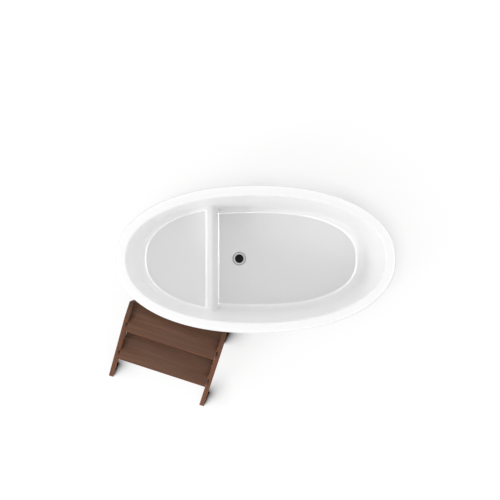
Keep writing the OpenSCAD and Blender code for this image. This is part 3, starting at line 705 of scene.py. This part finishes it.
def make_liner_mesh(s, centre, hole):
    """The moulding as rings that run from the waste's hole over the rim and back below."""
    basin = Basin(s)
    rough = np.linspace(0, 2 * math.pi, 1441)
    corner = math.radians(115.5)
    corners = (corner, 2 * math.pi - corner)
    dense = 1.0 + 2.2 * sum(np.exp(-(((rough - c) / math.radians(4)) ** 2)) for c in corners)
    rim_r = ray_to_oval(rough, centre, s, 0.0)
    step = np.hypot(np.diff(rim_r * np.cos(rough)), np.diff(rim_r * np.sin(rough)))
    run = np.concatenate([[0], np.cumsum(step * (dense[1:] + dense[:-1]) / 2)])
    rays = 324
    turn = np.interp(np.linspace(0, run[-1], rays, endpoint=False), run, rough)
    cos, sin = np.cos(turn)[:, None], np.sin(turn)[:, None]

    def surface_at(t):
        """Radius and height on the surface where both add up to t, for each ray."""
        low = np.full(t.shape, s.floor - 0.01)
        high = np.minimum(s.height + 0.02, t - 1e-5)
        for _ in range(26):
            z = (low + high) / 2
            r = t - z
            open_air = basin.air(centre[0] + r * cos, centre[1] + r * sin, z) > 0
            high = np.where(open_air, z, high)
            low = np.where(open_air, low, z)
        z = (low + high) / 2
        return t - z, z

    start = np.full((rays, 1), hole + s.floor)
    flat = ray_to_oval(turn, centre, s, s.rim - 0.0015)[:, None] + s.height
    share = np.linspace(0, 1, 560)[None, :]
    r, z = surface_at(start + (flat - start) * share)
    length = np.hypot(np.diff(r), np.diff(z))
    lean = np.unwrap(np.arctan2(np.diff(z), np.diff(r)))
    bend = np.abs(np.diff(lean, prepend=lean[:, :1]))
    cost = length / 0.013 + bend / math.radians(8.0)
    kernel = np.hanning(13)[1:-1]
    kernel /= kernel.sum()
    cost = np.apply_along_axis(lambda row: np.convolve(np.pad(row, 5, "edge"), kernel, "valid"), 1, cost)
    spread = np.hanning(11)[1:-1]
    spread /= spread.sum()
    cost = sum(w * np.roll(cost, k - 4, axis=0) for k, w in enumerate(spread))
    total = np.concatenate([np.zeros((rays, 1)), np.cumsum(cost, axis=1)], axis=1)
    total /= total[:, -1:]
    count = 128
    wanted = np.linspace(0, 1, count)
    share = np.stack([np.interp(wanted, row, share[0]) for row in total])
    r, z = surface_at(start + (flat - start) * share)

    def at(radius, height):
        height = np.broadcast_to(height, radius.shape)
        return np.stack([centre[0] + radius * cos, centre[1] + radius * sin, height], -1)

    body = at(r, z)
    step = 2e-4
    gradient = np.stack([
        basin.air(*(body[..., k] + step * (k == axis) for k in range(3)))
        - basin.air(*(body[..., k] - step * (k == axis) for k in range(3)))
        for axis in range(3)], -1)
    normal = gradient / np.linalg.norm(gradient, axis=-1, keepdims=True)
    rings = [body[:, j] for j in range(count)]

    def ring(inset, height):
        return at(ray_to_oval(turn, centre, s, inset)[:, None], height)[:, 0]

    top, low, lip = s.height, s.height - s.lip, s.lip_radius
    rim_insets = [s.rim * 0.66, s.rim * 0.36, lip]
    rings += [ring(inset, top) for inset in rim_insets]
    for v in np.radians([67.5, 45, 22.5, 0]):
        rings.append(ring(lip * (1 - math.cos(v)), top - lip * (1 - math.sin(v))))
    soft = 0.0015
    rings += [ring(0.0, low + soft), ring(soft * 0.3, low + soft * 0.3), ring(soft, low)]
    rings += [ring(s.wall - soft, low), ring(s.wall - soft * 0.3, low + soft * 0.3), ring(s.wall, low + soft)]
    rings += [ring(s.wall, top - s.wall - 0.004), ring(s.wall + 0.0012, top - s.wall - 0.0012)]
    rings += [ring(s.wall + 0.004, top - s.wall)]
    rings += [ring(inset, top - s.wall) for inset in rim_insets[1::-1]]
    under = body - s.wall * normal
    rings += [under[:, j] for j in sorted({0, *range(3, count, 3), count - 1}, reverse=True)]
    points = np.concatenate(rings)
    n, m = rays, len(rings)
    ray = np.arange(n)
    faces = []
    for j in range(m):
        k = (j + 1) % m
        faces.append(np.stack([j * n + ray, k * n + ray, k * n + (ray + 1) % n, j * n + (ray + 1) % n], -1))
    exact = np.zeros((len(points), 3))
    exact[:count * n] = np.swapaxes(normal, 0, 1).reshape(-1, 3)
    return mesh_of("liner", points, np.concatenate(faces)), exact


def ray_to_oval(turn, centre, s, inset):
    """Distance along each ray from the centre to the rim's outline, moved in by an inset."""
    low = np.zeros(turn.shape)
    high = np.full(turn.shape, s.length)
    for _ in range(34):
        middle = (low + high) / 2
        away, _slope = oval_distance(centre[0] + middle * np.cos(turn), centre[1] + middle * np.sin(turn),
                                     s.length / 2, s.width / 2, s.fullness)
        beyond = away > -inset
        high = np.where(beyond, middle, high)
        low = np.where(beyond, low, middle)
    return (low + high) / 2


class TUB_OT_liner(bpy.types.Operator):
    """Make the moulded liner with its seat, fillets, rolled rim and turned-down lip"""

    bl_idname = "tub.make_liner"
    bl_label = "Make the liner"

    def execute(self, context):
        s = context.scene.tub_liner
        middle = (FLANGE_LOW + FLANGE_HIGH) / 2
        mesh, normals = make_liner_mesh(s, (middle.x, middle.y), 0.0244)
        white = finish("white moulding")
        piece = add_piece("moulded_liner", mesh, white, "tub", ["liner"], 50.0)
        piece.data.normals_split_custom_set_from_vertices(normals.tolist())
        return {"FINISHED"}


# Node trees for what repeats


def new_tree(name, inputs):
    """A geometry node tree with named inputs, and a dictionary of their signals."""
    tree = bpy.data.node_groups.new(name, "GeometryNodeTree")
    tree.interface.new_socket("Geometry", in_out="INPUT", socket_type="NodeSocketGeometry")
    for label, kind in inputs.items():
        tree.interface.new_socket(label, in_out="INPUT", socket_type=kind)
    tree.interface.new_socket("Geometry", in_out="OUTPUT", socket_type="NodeSocketGeometry")
    graph = Graph(tree)
    labels = ("Geometry", *inputs)
    return graph, dict(zip(labels, graph.node("NodeGroupInput", {}, {}, labels)))


def end_tree(graph, geometry, material):
    """Ends a tree in realized instances with their material set."""
    real = graph.node("GeometryNodeRealizeInstances", {}, {"Geometry": geometry})
    dressed = graph.node("GeometryNodeSetMaterial", {}, {"Geometry": real, "Material": material})
    graph.node("NodeGroupOutput", {}, {"Geometry": dressed})
    return graph.tree


def run_tree(tree, mesh, values, name):
    """The plain mesh that a tree makes of a mesh and the values of its inputs."""
    obj = bpy.data.objects.new(name, mesh)
    bpy.context.scene.collection.objects.link(obj)
    modifier = obj.modifiers.new(name, "NODES")
    modifier.node_group = tree
    for item in tree.interface.items_tree:
        if item.item_type == "SOCKET" and item.in_out == "INPUT" and item.name in values:
            modifier[item.identifier] = values[item.name]
    depsgraph = bpy.context.evaluated_depsgraph_get()
    made = bpy.data.meshes.new_from_object(obj.evaluated_get(depsgraph), preserve_all_data_layers=True,
                                           depsgraph=depsgraph)
    obj.modifiers.remove(modifier)
    bpy.data.objects.remove(obj)
    made.name = name
    return made


def stave_tree():
    """Boards of one section, set side by side round an oval and raised to their height."""
    number, whole = "NodeSocketFloat", "NodeSocketInt"
    g, put = new_tree("stave shell", {
        "Boards": whole, "Half length": number, "Half width": number, "Fullness": number, "Inset": number,
        "Foot": number, "Top": number, "Slot radius": number, "Slot place": "NodeSocketVector", "Seed": whole,
        "Material": "NodeSocketMaterial",
    })
    steps = 720
    index = g.node("GeometryNodeInputIndex")
    angle = index * (2 * math.pi / steps) + math.pi / 2
    n, a, b = put["Fullness"], put["Half length"], put["Half width"]
    cx = angle.maths("COSINE").signed_power(2.0 / n)
    cy = angle.maths("SINE").signed_power(2.0 / n)
    nx = cx.signed_power(n - 1.0) / a
    ny = cy.signed_power(n - 1.0) / b
    size = (nx * nx + ny * ny) ** 0.5
    spot = g.node("ShaderNodeCombineXYZ", {}, {"X": cx * a - nx / size * put["Inset"],
                                              "Y": cy * b - ny / size * put["Inset"]})
    loop = g.node("GeometryNodeMeshCircle", {"fill_type": "NONE"}, {"Vertices": steps})
    loop = g.node("GeometryNodeSetPosition", {}, {"Geometry": loop, "Position": spot})
    oval = g.node("GeometryNodeMeshToCurve", {}, {"Mesh": loop})

    boards, copy = g.node("GeometryNodeDuplicateElements", {"domain": "FACE"}, {
        "Geometry": put["Geometry"], "Amount": put["Boards"]}, ("Geometry", "Duplicate Index"))
    along, deep, slide = g.node("ShaderNodeSeparateXYZ", {}, {"Vector": g.node("GeometryNodeInputPosition")},
                                ("X", "Y", "Z"))
    tone = g.node("FunctionNodeRandomValue", {"data_type": "FLOAT"},
                  {"Min": 0.0, "Max": 1.0, "ID": copy, "Seed": put["Seed"]}, "Value")
    boards = g.node("GeometryNodeStoreNamedAttribute", {"data_type": "FLOAT", "domain": "POINT"},
                    {"Geometry": boards, "Name": "tone", "Value": tone})
    factor = ((copy + along) / put["Boards"]).maths("FRACT")
    at, tangent = g.node("GeometryNodeSampleCurve", {"mode": "FACTOR", "use_all_curves": True},
                         {"Curves": oval, "Factor": factor}, ("Position", "Tangent"))
    tx, ty = g.node("ShaderNodeSeparateXYZ", {}, {"Vector": tangent}, ("X", "Y"))
    outward = g.node("ShaderNodeCombineXYZ", {}, {"X": ty, "Y": 0.0 - tx})
    lift = g.node("ShaderNodeCombineXYZ", {}, {"Z": put["Foot"]})
    placed = g.node("GeometryNodeSetPosition", {},
                    {"Geometry": boards, "Position": at - outward * deep + tangent * slide + lift})
    rise = g.node("ShaderNodeCombineXYZ", {}, {"Z": put["Top"] - put["Foot"]})
    raised = g.node("GeometryNodeExtrudeMesh", {"mode": "FACES"},
                    {"Mesh": placed, "Offset": rise, "Offset Scale": 1.0, "Individual": False})
    feet = g.node("GeometryNodeFlipFaces", {}, {"Mesh": placed})
    shell = g.node("GeometryNodeJoinGeometry", {}, {"Geometry": [raised, feet]})
    shell = g.node("GeometryNodeMergeByDistance", {}, {"Geometry": shell, "Distance": 1e-5})
    named = g.node("GeometryNodeInputNamedAttribute", {"data_type": "FLOAT"}, {"Name": "tone"}, "Attribute")
    shell = g.node("GeometryNodeStoreNamedAttribute", {"data_type": "FLOAT", "domain": "FACE"},
                   {"Geometry": shell, "Name": "board", "Value": named})

    radius, slot_at = put["Slot radius"], put["Slot place"]
    mouth = g.node("GeometryNodeMeshCylinder", {}, {"Vertices": 48, "Radius": radius, "Depth": 0.09})
    mouth = g.node("GeometryNodeTransform", {}, {"Geometry": mouth, "Translation": slot_at,
                                                 "Rotation": (math.pi / 2, 0.0, 0.0)})
    sx, sy, sz = g.node("ShaderNodeSeparateXYZ", {}, {"Vector": slot_at}, ("X", "Y", "Z"))
    block = g.node("GeometryNodeMeshCube", {}, {"Size": g.node("ShaderNodeCombineXYZ", {}, {
        "X": radius * 2.0, "Y": 0.09, "Z": sz})})
    block = g.node("GeometryNodeTransform", {}, {"Geometry": block, "Translation": g.node(
        "ShaderNodeCombineXYZ", {}, {"X": sx, "Y": sy, "Z": sz / 2.0})})
    shell = g.node("GeometryNodeMeshBoolean", {"operation": "DIFFERENCE", "solver": "EXACT"},
                   {"Mesh 1": shell, "Mesh 2": [mouth, block]}, "Mesh")
    px, py, pz = g.node("ShaderNodeSeparateXYZ", {}, {"Vector": g.node("GeometryNodeInputPosition")},
                        ("X", "Y", "Z"))
    fibres = g.node("ShaderNodeCombineXYZ", {}, {"X": pz, "Y": px, "Z": py})
    shell = g.node("GeometryNodeStoreNamedAttribute", {"data_type": "FLOAT_VECTOR", "domain": "POINT"},
                   {"Geometry": shell, "Name": "grain", "Value": fibres})
    return end_tree(g, shell, put["Material"])


def stave_section(s):
    """One board's section: its share of the width, its depth and its slide along the oval."""
    bevel, half_gap, count = s.bevel, s.gap / 2, 6
    arc = [(bevel * (1 - math.sin(v)), bevel * (1 - math.cos(v))) for v in (0.0, math.pi / 4, math.pi / 2)]
    points = [(0.0, depth, half_gap + slide) for slide, depth in reversed(arc)]
    points += [(k / count, 0.0, 0.0) for k in range(1, count)]
    points += [(1.0, depth, -half_gap - slide) for slide, depth in reversed(arc)]
    points += [(1.0, s.thickness, -half_gap)]
    points += [(1 - k / count, s.thickness, 0.0) for k in range(1, count)]
    points += [(0.0, s.thickness, half_gap)]
    return mesh_of("stave section", points, [range(len(points))])


def screw_tree():
    """Countersunk screws with a hexagon socket, one on each point, facing the way that it says."""
    number = "NodeSocketFloat"
    g, put = new_tree("screws", {
        "Head radius": number, "Head height": number, "Shank radius": number, "Length": number,
        "Socket radius": number, "Socket depth": number, "Material": "NodeSocketMaterial",
    })
    head_r, head_h, shank = put["Head radius"], put["Head height"], put["Shank radius"]
    rim = g.node("GeometryNodeMeshCylinder", {}, {"Vertices": 28, "Radius": head_r, "Depth": head_h * 0.3})
    rim = g.node("GeometryNodeTransform", {}, {"Geometry": rim, "Translation": g.node(
        "ShaderNodeCombineXYZ", {}, {"Z": head_h * -0.15})})
    cone = g.node("GeometryNodeMeshCone", {}, {"Vertices": 28, "Radius Top": head_r, "Radius Bottom": shank,
                                              "Depth": head_h * 0.7}, "Mesh")
    cone = g.node("GeometryNodeTransform", {}, {"Geometry": cone, "Translation": g.node(
        "ShaderNodeCombineXYZ", {}, {"Z": 0.0 - head_h})})
    rod = g.node("GeometryNodeMeshCylinder", {}, {"Vertices": 12, "Radius": shank,
                                                 "Depth": put["Length"] - head_h})
    rod = g.node("GeometryNodeTransform", {}, {"Geometry": rod, "Translation": g.node(
        "ShaderNodeCombineXYZ", {}, {"Z": (put["Length"] + head_h) * -0.5})})
    socket = g.node("GeometryNodeMeshCylinder", {}, {"Vertices": 6, "Radius": put["Socket radius"],
                                                    "Depth": put["Socket depth"] * 2.0})
    head = g.node("GeometryNodeMeshBoolean", {"operation": "UNION", "solver": "EXACT"},
                  {"Mesh 2": [rim, cone]}, "Mesh")
    head = g.node("GeometryNodeMeshBoolean", {"operation": "DIFFERENCE", "solver": "EXACT"},
                  {"Mesh 1": head, "Mesh 2": socket}, "Mesh")
    screw = g.node("GeometryNodeJoinGeometry", {}, {"Geometry": [head, rod]})
    facing = g.node("GeometryNodeInputNamedAttribute", {"data_type": "FLOAT_VECTOR"},
                    {"Name": "facing"}, "Attribute")
    turned = g.node("FunctionNodeAlignRotationToVector", {"axis": "Z"}, {"Vector": facing})
    placed = g.node("GeometryNodeInstanceOnPoints", {}, {"Points": put["Geometry"], "Instance": screw,
                                                        "Rotation": turned})
    return end_tree(g, placed, put["Material"])


def screw_points(places):
    """A mesh of loose points, each with the way that its screw's head faces."""
    mesh = mesh_of("screw places", [p for p, _ in places], [])
    facing = mesh.attributes.new("facing", "FLOAT_VECTOR", "POINT")
    facing.data.foreach_set("vector", np.array([tuple(f) for _, f in places], dtype=np.float32).ravel())
    return mesh


def oval_stations(s, inset, count):
    """Points at equal steps round the rim's outline moved in by an inset, with their outward directions."""
    turn = np.linspace(0, 2 * math.pi, 2881) + math.pi / 2
    c, w = np.cos(turn), np.sin(turn)
    x = s.length / 2 * np.sign(c) * np.abs(c) ** (2 / s.fullness)
    y = s.width / 2 * np.sign(w) * np.abs(w) ** (2 / s.fullness)
    n = np.stack([np.sign(x) * np.abs(2 * x / s.length) ** (s.fullness - 1) / s.length,
                  np.sign(y) * np.abs(2 * y / s.width) ** (s.fullness - 1) / s.width], -1)
    n /= np.linalg.norm(n, axis=1, keepdims=True)
    p = np.stack([x, y], -1) - inset * n
    run = np.concatenate([[0], np.cumsum(np.linalg.norm(np.diff(p, axis=0), axis=1))])
    places = (np.arange(count) + 0.5) / count * run[-1]
    return [(tuple(np.interp(q, run, p[:, k]) for k in (0, 1)),
             tuple(np.interp(q, run, n[:, k]) for k in (0, 1))) for q in places]


class TUB_OT_shell(bpy.types.Operator):
    """Make the staves round the oval, and the two rows of screws that hold them to their ribs"""

    bl_idname = "tub.make_shell"
    bl_label = "Make the stave shell"

    def execute(self, context):
        s, rim = context.scene.tub_timber, context.scene.tub_liner
        low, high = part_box("outlet_socket")
        mesh = run_tree(stave_tree(), stave_section(s), {
            "Boards": s.staves, "Half length": rim.length / 2, "Half width": rim.width / 2,
            "Fullness": rim.fullness, "Inset": s.overhang, "Foot": STAVE_LOW.z, "Top": STAVE_HIGH.z,
            "Slot radius": s.slot, "Seed": s.seed, "Material": finish("brown timber"),
            "Slot place": ((low.x + high.x) / 2, rim.width / 2 - s.overhang - s.thickness / 2,
                           (low.z + high.z) / 2),
        }, "stave_shell")
        names = sorted(n for n in frame["nodes"] if n.startswith("stave_"))
        add_piece("stave_shell", mesh, finish("brown timber"), "tub", names, 38.0)
        rows = [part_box("upper_rib"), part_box("lower_rib")]
        places = [((p[0], p[1], (rib_low.z + rib_high.z) / 2), (n[0], n[1], 0.0))
                  for rib_low, rib_high in rows for p, n in oval_stations(rim, s.overhang - 0.0002, s.staves)]
        screws = run_tree(screw_tree(), screw_points(places), {
            "Head radius": 0.0042, "Head height": 0.003, "Shank radius": 0.002, "Length": 0.028,
            "Socket radius": 0.0017, "Socket depth": 0.0018, "Material": finish("brushed steel"),
        }, "shell_screws")
        add_piece("shell_screws", screws, finish("brushed steel"), "tub", [], 30.0)
        return {"FINISHED"}


class TUB_OT_hoops(bpy.types.Operator):
    """Make the steel hoops with their lugs, and finish their draw bolts"""

    bl_idname = "tub.make_hoops"
    bl_label = "Make the hoops"

    def execute(self, context):
        steel = finish("brushed steel")
        for node in ("upper_hoop", "lower_hoop"):
            mesh = eased_mesh(node, 0.0004, 0.003)
            add_piece(node + "_band", mesh, steel, "tub", [node], 30.0)
        mesh = eased_mesh("hoop_bolts", 0.0004, 0.003)
        add_piece("hoop_draw_bolts", mesh, steel, "tub", ["hoop_bolts"], 30.0)
        return {"FINISHED"}


class TUB_OT_base(bpy.types.Operator):
    """Finish the bearers, deck, ribs and foam bed under the liner"""

    bl_idname = "tub.finish_base"
    bl_label = "Finish the base"

    def execute(self, context):
        for node in ("left_bearer", "middle_bearer", "right_bearer"):
            finish_node(node, finish("framing timber"))
        for node in ("deck", "upper_rib", "lower_rib", "front_seat_rib", "rear_seat_rib", "pipe_clips"):
            finish_node(node, finish("plywood"))
        finish_node("foam_pad", finish("foam"))
        return {"FINISHED"}


class TUB_OT_waste(bpy.types.Operator):
    """Make the waste's flange and the plug, and finish the pipework"""

    bl_idname = "tub.make_waste"
    bl_label = "Make the waste"

    def execute(self, context):
        floor = context.scene.tub_liner.floor
        mesh = eased_mesh("waste_body", 0.0005, 0.001, lambda edge, middle: middle.z < floor)
        add_piece("waste_flange", mesh, finish("chrome"), "tub", ["waste_body"], 12.0)
        mesh = eased_mesh("plug_cap", 0.0006, 0.001)
        add_piece("plug_top", mesh, finish("black rubber"), "stopper", ["plug_cap"], 40.0)
        for node in ("flange_gasket", "waste_washer", "plug_seal"):
            finish_node(node, finish("black rubber"))
        finish_node("waste_nut", finish("brushed steel"))
        finish_node("plug_stem", finish("chrome"))
        for node in ("drain_elbow", "drain_pipe", "outlet_socket"):
            finish_node(node, finish("pipe plastic"))
        return {"FINISHED"}


def connected_parts(bm):
    """The points of each separate part of a bmesh."""
    seen = set()
    for first in bm.verts:
        if first in seen:
            continue
        seen.add(first)
        part, queue = [], [first]
        while queue:
            here = queue.pop()
            part.append(here.co.copy())
            fresh = {edge.other_vert(here) for edge in here.link_edges} - seen
            seen |= fresh
            queue += fresh
        yield part


def step_screw_places(x_axis):
    """The middle of each step screw's head, with the way that the head faces."""
    bm = merged_mesh("step_screws")
    middle = sum((v.co for v in bm.verts), Vector()) / len(bm.verts)
    places = []
    for part in connected_parts(bm):
        centre = sum(part, Vector()) / len(part)
        facing = x_axis if (centre - middle).dot(x_axis) > 0 else -x_axis
        reach = max(p.dot(facing) for p in part)
        face = [p for p in part if p.dot(facing) > reach - 1e-5]
        places.append((tuple(sum(face, Vector()) / len(face)), tuple(facing)))
    bm.free()
    return places


class TUB_OT_step(bpy.types.Operator):
    """Make the step's planks, posts, treads and rail with sanded edges, its screws and its feet"""

    bl_idname = "tub.make_step"
    bl_label = "Make the step"

    def execute(self, context):
        s = context.scene.tub_timber
        timber = finish("brown timber")
        y_axis = -STEP_AWAY.normalized()
        up = Vector((0.0, 0.0, 1.0))
        x_axis = y_axis.cross(up)
        nodes = {n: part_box(n) for n in ("left_plank", "right_plank", "lower_tread", "upper_tread")}
        levels = [corner.z for n in ("lower_tread", "upper_tread") for corner in nodes[n]]
        plank = frame["nodes"]["left_plank"].data
        low_y = min(v.co.dot(y_axis) for v in plank.vertices if v.co.z < nodes["left_plank"][0].z + 1e-4)
        high_y = min(v.co.dot(y_axis) for v in plank.vertices if v.co.z > nodes["left_plank"][1].z - 1e-4)
        rise = nodes["left_plank"][1].z - nodes["left_plank"][0].z
        slope = (y_axis * (high_y - low_y) + up * rise).normalized()
        boards = {
            "left_plank": (slope, slope.cross(x_axis), x_axis, 0.18),
            "right_plank": (slope, slope.cross(x_axis), x_axis, 0.77),
            "left_post": (up, y_axis, x_axis, 0.41),
            "right_post": (up, y_axis, x_axis, 0.63),
            "lower_tread": (x_axis, y_axis, up, 0.52),
            "upper_tread": (x_axis, y_axis, up, 0.34),
            "rear_rail": (x_axis, up, y_axis, 0.86),
        }

        def in_housing(edge, middle):
            flat = abs(edge.verts[0].co.z - edge.verts[1].co.z) < 1e-4
            return flat and any(abs(middle.z - z) < 0.001 for z in levels)

        for node, (along, across, through, number) in boards.items():
            tread = node.endswith("tread")
            mesh = eased_mesh(node, s.ease, 0.012, None if tread else in_housing)
            low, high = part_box(node)
            middle = (low + high) / 2
            store_grain(mesh, number, middle, along, across, through)
            add_piece(node + "_board", mesh, timber, "steps", [node], 40.0)

        places = step_screw_places(x_axis)
        mesh = run_tree(screw_tree(), screw_points(places), {
            "Head radius": 0.005, "Head height": 0.004, "Shank radius": 0.0025, "Length": 0.060,
            "Socket radius": 0.0021, "Socket depth": 0.0024, "Material": finish("brushed steel"),
        }, "step_screw_set")
        add_piece("step_screw_set", mesh, finish("brushed steel"), "steps", ["step_screws"], 30.0)
        mesh = eased_mesh("step_feet", 0.001, 0.003)
        rubber = finish("black rubber")
        add_piece("step_rubber_feet", mesh, rubber, "steps", ["step_feet"], 30.0)
        return {"FINISHED"}


def seen_directly(g):
    """1 for rays from the camera, off metal and through glass, 0 for the rays that carry light."""
    straight, gloss, clear = g.node("ShaderNodeLightPath", {}, {}, (
        "Is Camera Ray", "Is Glossy Ray", "Is Transmission Ray"))
    return straight.maths("MAXIMUM", gloss).maths("MAXIMUM", clear)


def white_glow(g, strength):
    """White light of this strength."""
    return g.node("ShaderNodeEmission", {}, {"Color": (1.0, 1.0, 1.0), "Strength": strength})


def add_camera(s):
    """The camera, straight above the tub."""
    camera = bpy.data.cameras.new("view from above")
    camera.lens, camera.sensor_width = s.lens, 36.0
    camera.sensor_fit = "AUTO"
    camera.clip_end = 200.0
    seen_from = bpy.data.objects.new("view from above", camera)
    seen_from.location = (s.camera_x, s.camera_y, s.camera_z)
    bpy.context.scene.collection.objects.link(seen_from)
    bpy.context.scene.camera = seen_from


def add_ring_light(s):
    """A ring of light overhead that only glossy surfaces reflect, as thin white lines in the fillets."""
    height, turns = 9.0, 96
    around = [(math.cos(2 * math.pi * k / turns), math.sin(2 * math.pi * k / turns)) for k in range(turns)]
    radii = [height * math.tan(math.radians(a)) for a in (13.0, 18.0)]
    faces = [(k, (k + 1) % turns, turns + (k + 1) % turns, turns + k) for k in range(turns)]
    mesh = mesh_of("ring light", [(r * c, r * w, height) for r in radii for c, w in around], faces)
    glow = bpy.data.materials.new("ring light")
    g = empty_graph(glow)
    g.node("ShaderNodeOutputMaterial", {}, {"Surface": white_glow(g, s.ring)})
    mesh.materials.append(glow)
    ring = bpy.data.objects.new("ring light", mesh)
    ring.visible_camera = ring.visible_diffuse = False
    bpy.context.scene.collection.objects.link(ring)


def add_key_lamp(s, towards):
    """A soft lamp that stands this way from the tub."""
    lamp = bpy.data.lights.new("soft key", "AREA")
    lamp.shape, lamp.size, lamp.energy = "DISK", 3.6, s.key
    key = bpy.data.objects.new("soft key", lamp)
    key.location = towards * 14.0
    key.rotation_euler = towards.to_track_quat("Z", "Y").to_euler()
    bpy.context.scene.collection.objects.link(key)


def add_floor(s, towards):
    """A floor that the camera sees white, but for soft shadows painted into its glow, which fall away from
    the lamp and are painted deeper near the step.
    """
    reach = 40.0
    mesh = mesh_of("floor", [(-reach, -reach, 0), (reach, -reach, 0), (reach, reach, 0), (-reach, reach, 0)],
                   [(0, 1, 2, 3)])
    material = bpy.data.materials.new("pale floor")
    g = empty_graph(material)
    matt = g.node("ShaderNodeBsdfDiffuse", {}, {"Color": (0.86, 0.86, 0.86)})
    lit_from = g.node("ShaderNodeCombineXYZ", {}, {"X": towards.x * 1.2, "Y": towards.y * 1.2, "Z": 0.35})
    near_share, wide_share = (
        g.node("ShaderNodeAmbientOcclusion", {"samples": samples},
               {"Distance": distance, "Normal": lit_from}, "AO")
        for samples, distance in ((16, 0.14), (12, 0.5)))
    low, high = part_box("lower_tread")
    away = g.node("ShaderNodeVectorMath", {"operation": "DISTANCE"},
                  {0: place(g), 1: ((low.x + high.x) / 2, (low.y + high.y) / 2 + 0.08, 0.0)}, "Value")
    # Painted shadow: the glow is darkened by short occlusion towards the lamp, and darkened further near the
    # step by distance alone.
    near_step = 1.0 - away.between(0.42, 0.75)
    dark = (1.0 - near_share) ** 2.2 * s.contact + (1.0 - wide_share) ** 2.0 * s.wide
    white = 1.05 - dark * (1.0 + 2.0 * near_step)
    pale = g.node("ShaderNodeMixShader", {}, {0: s.shadow, 1: white_glow(g, white), 2: matt})
    both = g.node("ShaderNodeMixShader", {}, {0: seen_directly(g), 1: matt, 2: pale})
    g.node("ShaderNodeOutputMaterial", {}, {"Surface": both})
    mesh.materials.append(material)
    floor = bpy.data.objects.new("floor", mesh)
    bpy.context.scene.collection.objects.link(floor)


def light_world(s):
    """Even light from all round, brightest half way up, that the camera sees as white."""
    world = bpy.data.worlds.new("even light")
    g = empty_graph(world)
    way = g.node("ShaderNodeTexCoord", {}, {}, "Generated")
    up = g.node("ShaderNodeSeparateXYZ", {}, {"Vector": way}, "Z").maths("MAXIMUM", 0.0)
    light = s.sky + s.shoulder * 4.0 * up * (1.0 - up) + s.zenith * up ** 4.0
    strength = light + (1.0 - light) * seen_directly(g)
    sky = g.node("ShaderNodeBackground", {}, {"Color": (1.0, 1.0, 1.0), "Strength": strength})
    g.node("ShaderNodeOutputWorld", {}, {"Surface": sky})
    bpy.context.scene.world = world


class TUB_OT_stage(bpy.types.Operator):
    """Set up the camera, the pale floor, the even light, the soft key lamp and the ring overhead"""

    bl_idname = "tub.make_stage"
    bl_label = "Set up the stage"

    def execute(self, context):
        s = context.scene.tub_stage
        towards = Vector((-0.86, -0.50, 0.80)).normalized()
        add_camera(s)
        add_ring_light(s)
        add_key_lamp(s, towards)
        add_floor(s, towards)
        light_world(s)
        context.scene.view_settings.view_transform = "Standard"
        return {"FINISHED"}


STEPS = (TUB_OT_liner, TUB_OT_shell, TUB_OT_hoops, TUB_OT_base, TUB_OT_waste, TUB_OT_step, TUB_OT_stage)
GROUPS = {"tub_liner": LinerSettings, "tub_timber": TimberSettings, "tub_metal": MetalSettings,
          "tub_stage": StageSettings}


class TUB_PT_panel(bpy.types.Panel):
    """The tub's settings and the operators that make its pieces"""

    bl_idname = "TUB_PT_panel"
    bl_label = "Oval plunge tub"
    bl_space_type = "VIEW_3D"
    bl_region_type = "UI"
    bl_category = "Tub"

    def draw(self, context):
        for step in STEPS:
            self.layout.operator(step.bl_idname)
        for group in GROUPS:
            box = self.layout.box()
            settings = getattr(context.scene, group)
            for field in settings.bl_rna.properties:
                if field.identifier not in ("rna_type", "name"):
                    box.prop(settings, field.identifier)


CLASSES = (*GROUPS.values(), *STEPS, TUB_PT_panel)


def register():
    for kind in CLASSES:
        bpy.utils.register_class(kind)
    for name, kind in GROUPS.items():
        setattr(bpy.types.Scene, name, PointerProperty(type=kind))


def unregister():
    for name in GROUPS:
        delattr(bpy.types.Scene, name)
    for kind in reversed(CLASSES):
        bpy.utils.unregister_class(kind)


def main():
    register()
    bpy.ops.tub.make_stage()
    bpy.ops.tub.make_liner()
    bpy.ops.tub.make_shell()
    bpy.ops.tub.make_hoops()
    bpy.ops.tub.finish_base()
    bpy.ops.tub.make_waste()
    bpy.ops.tub.make_step()


if __name__ == "__main__":
    main()
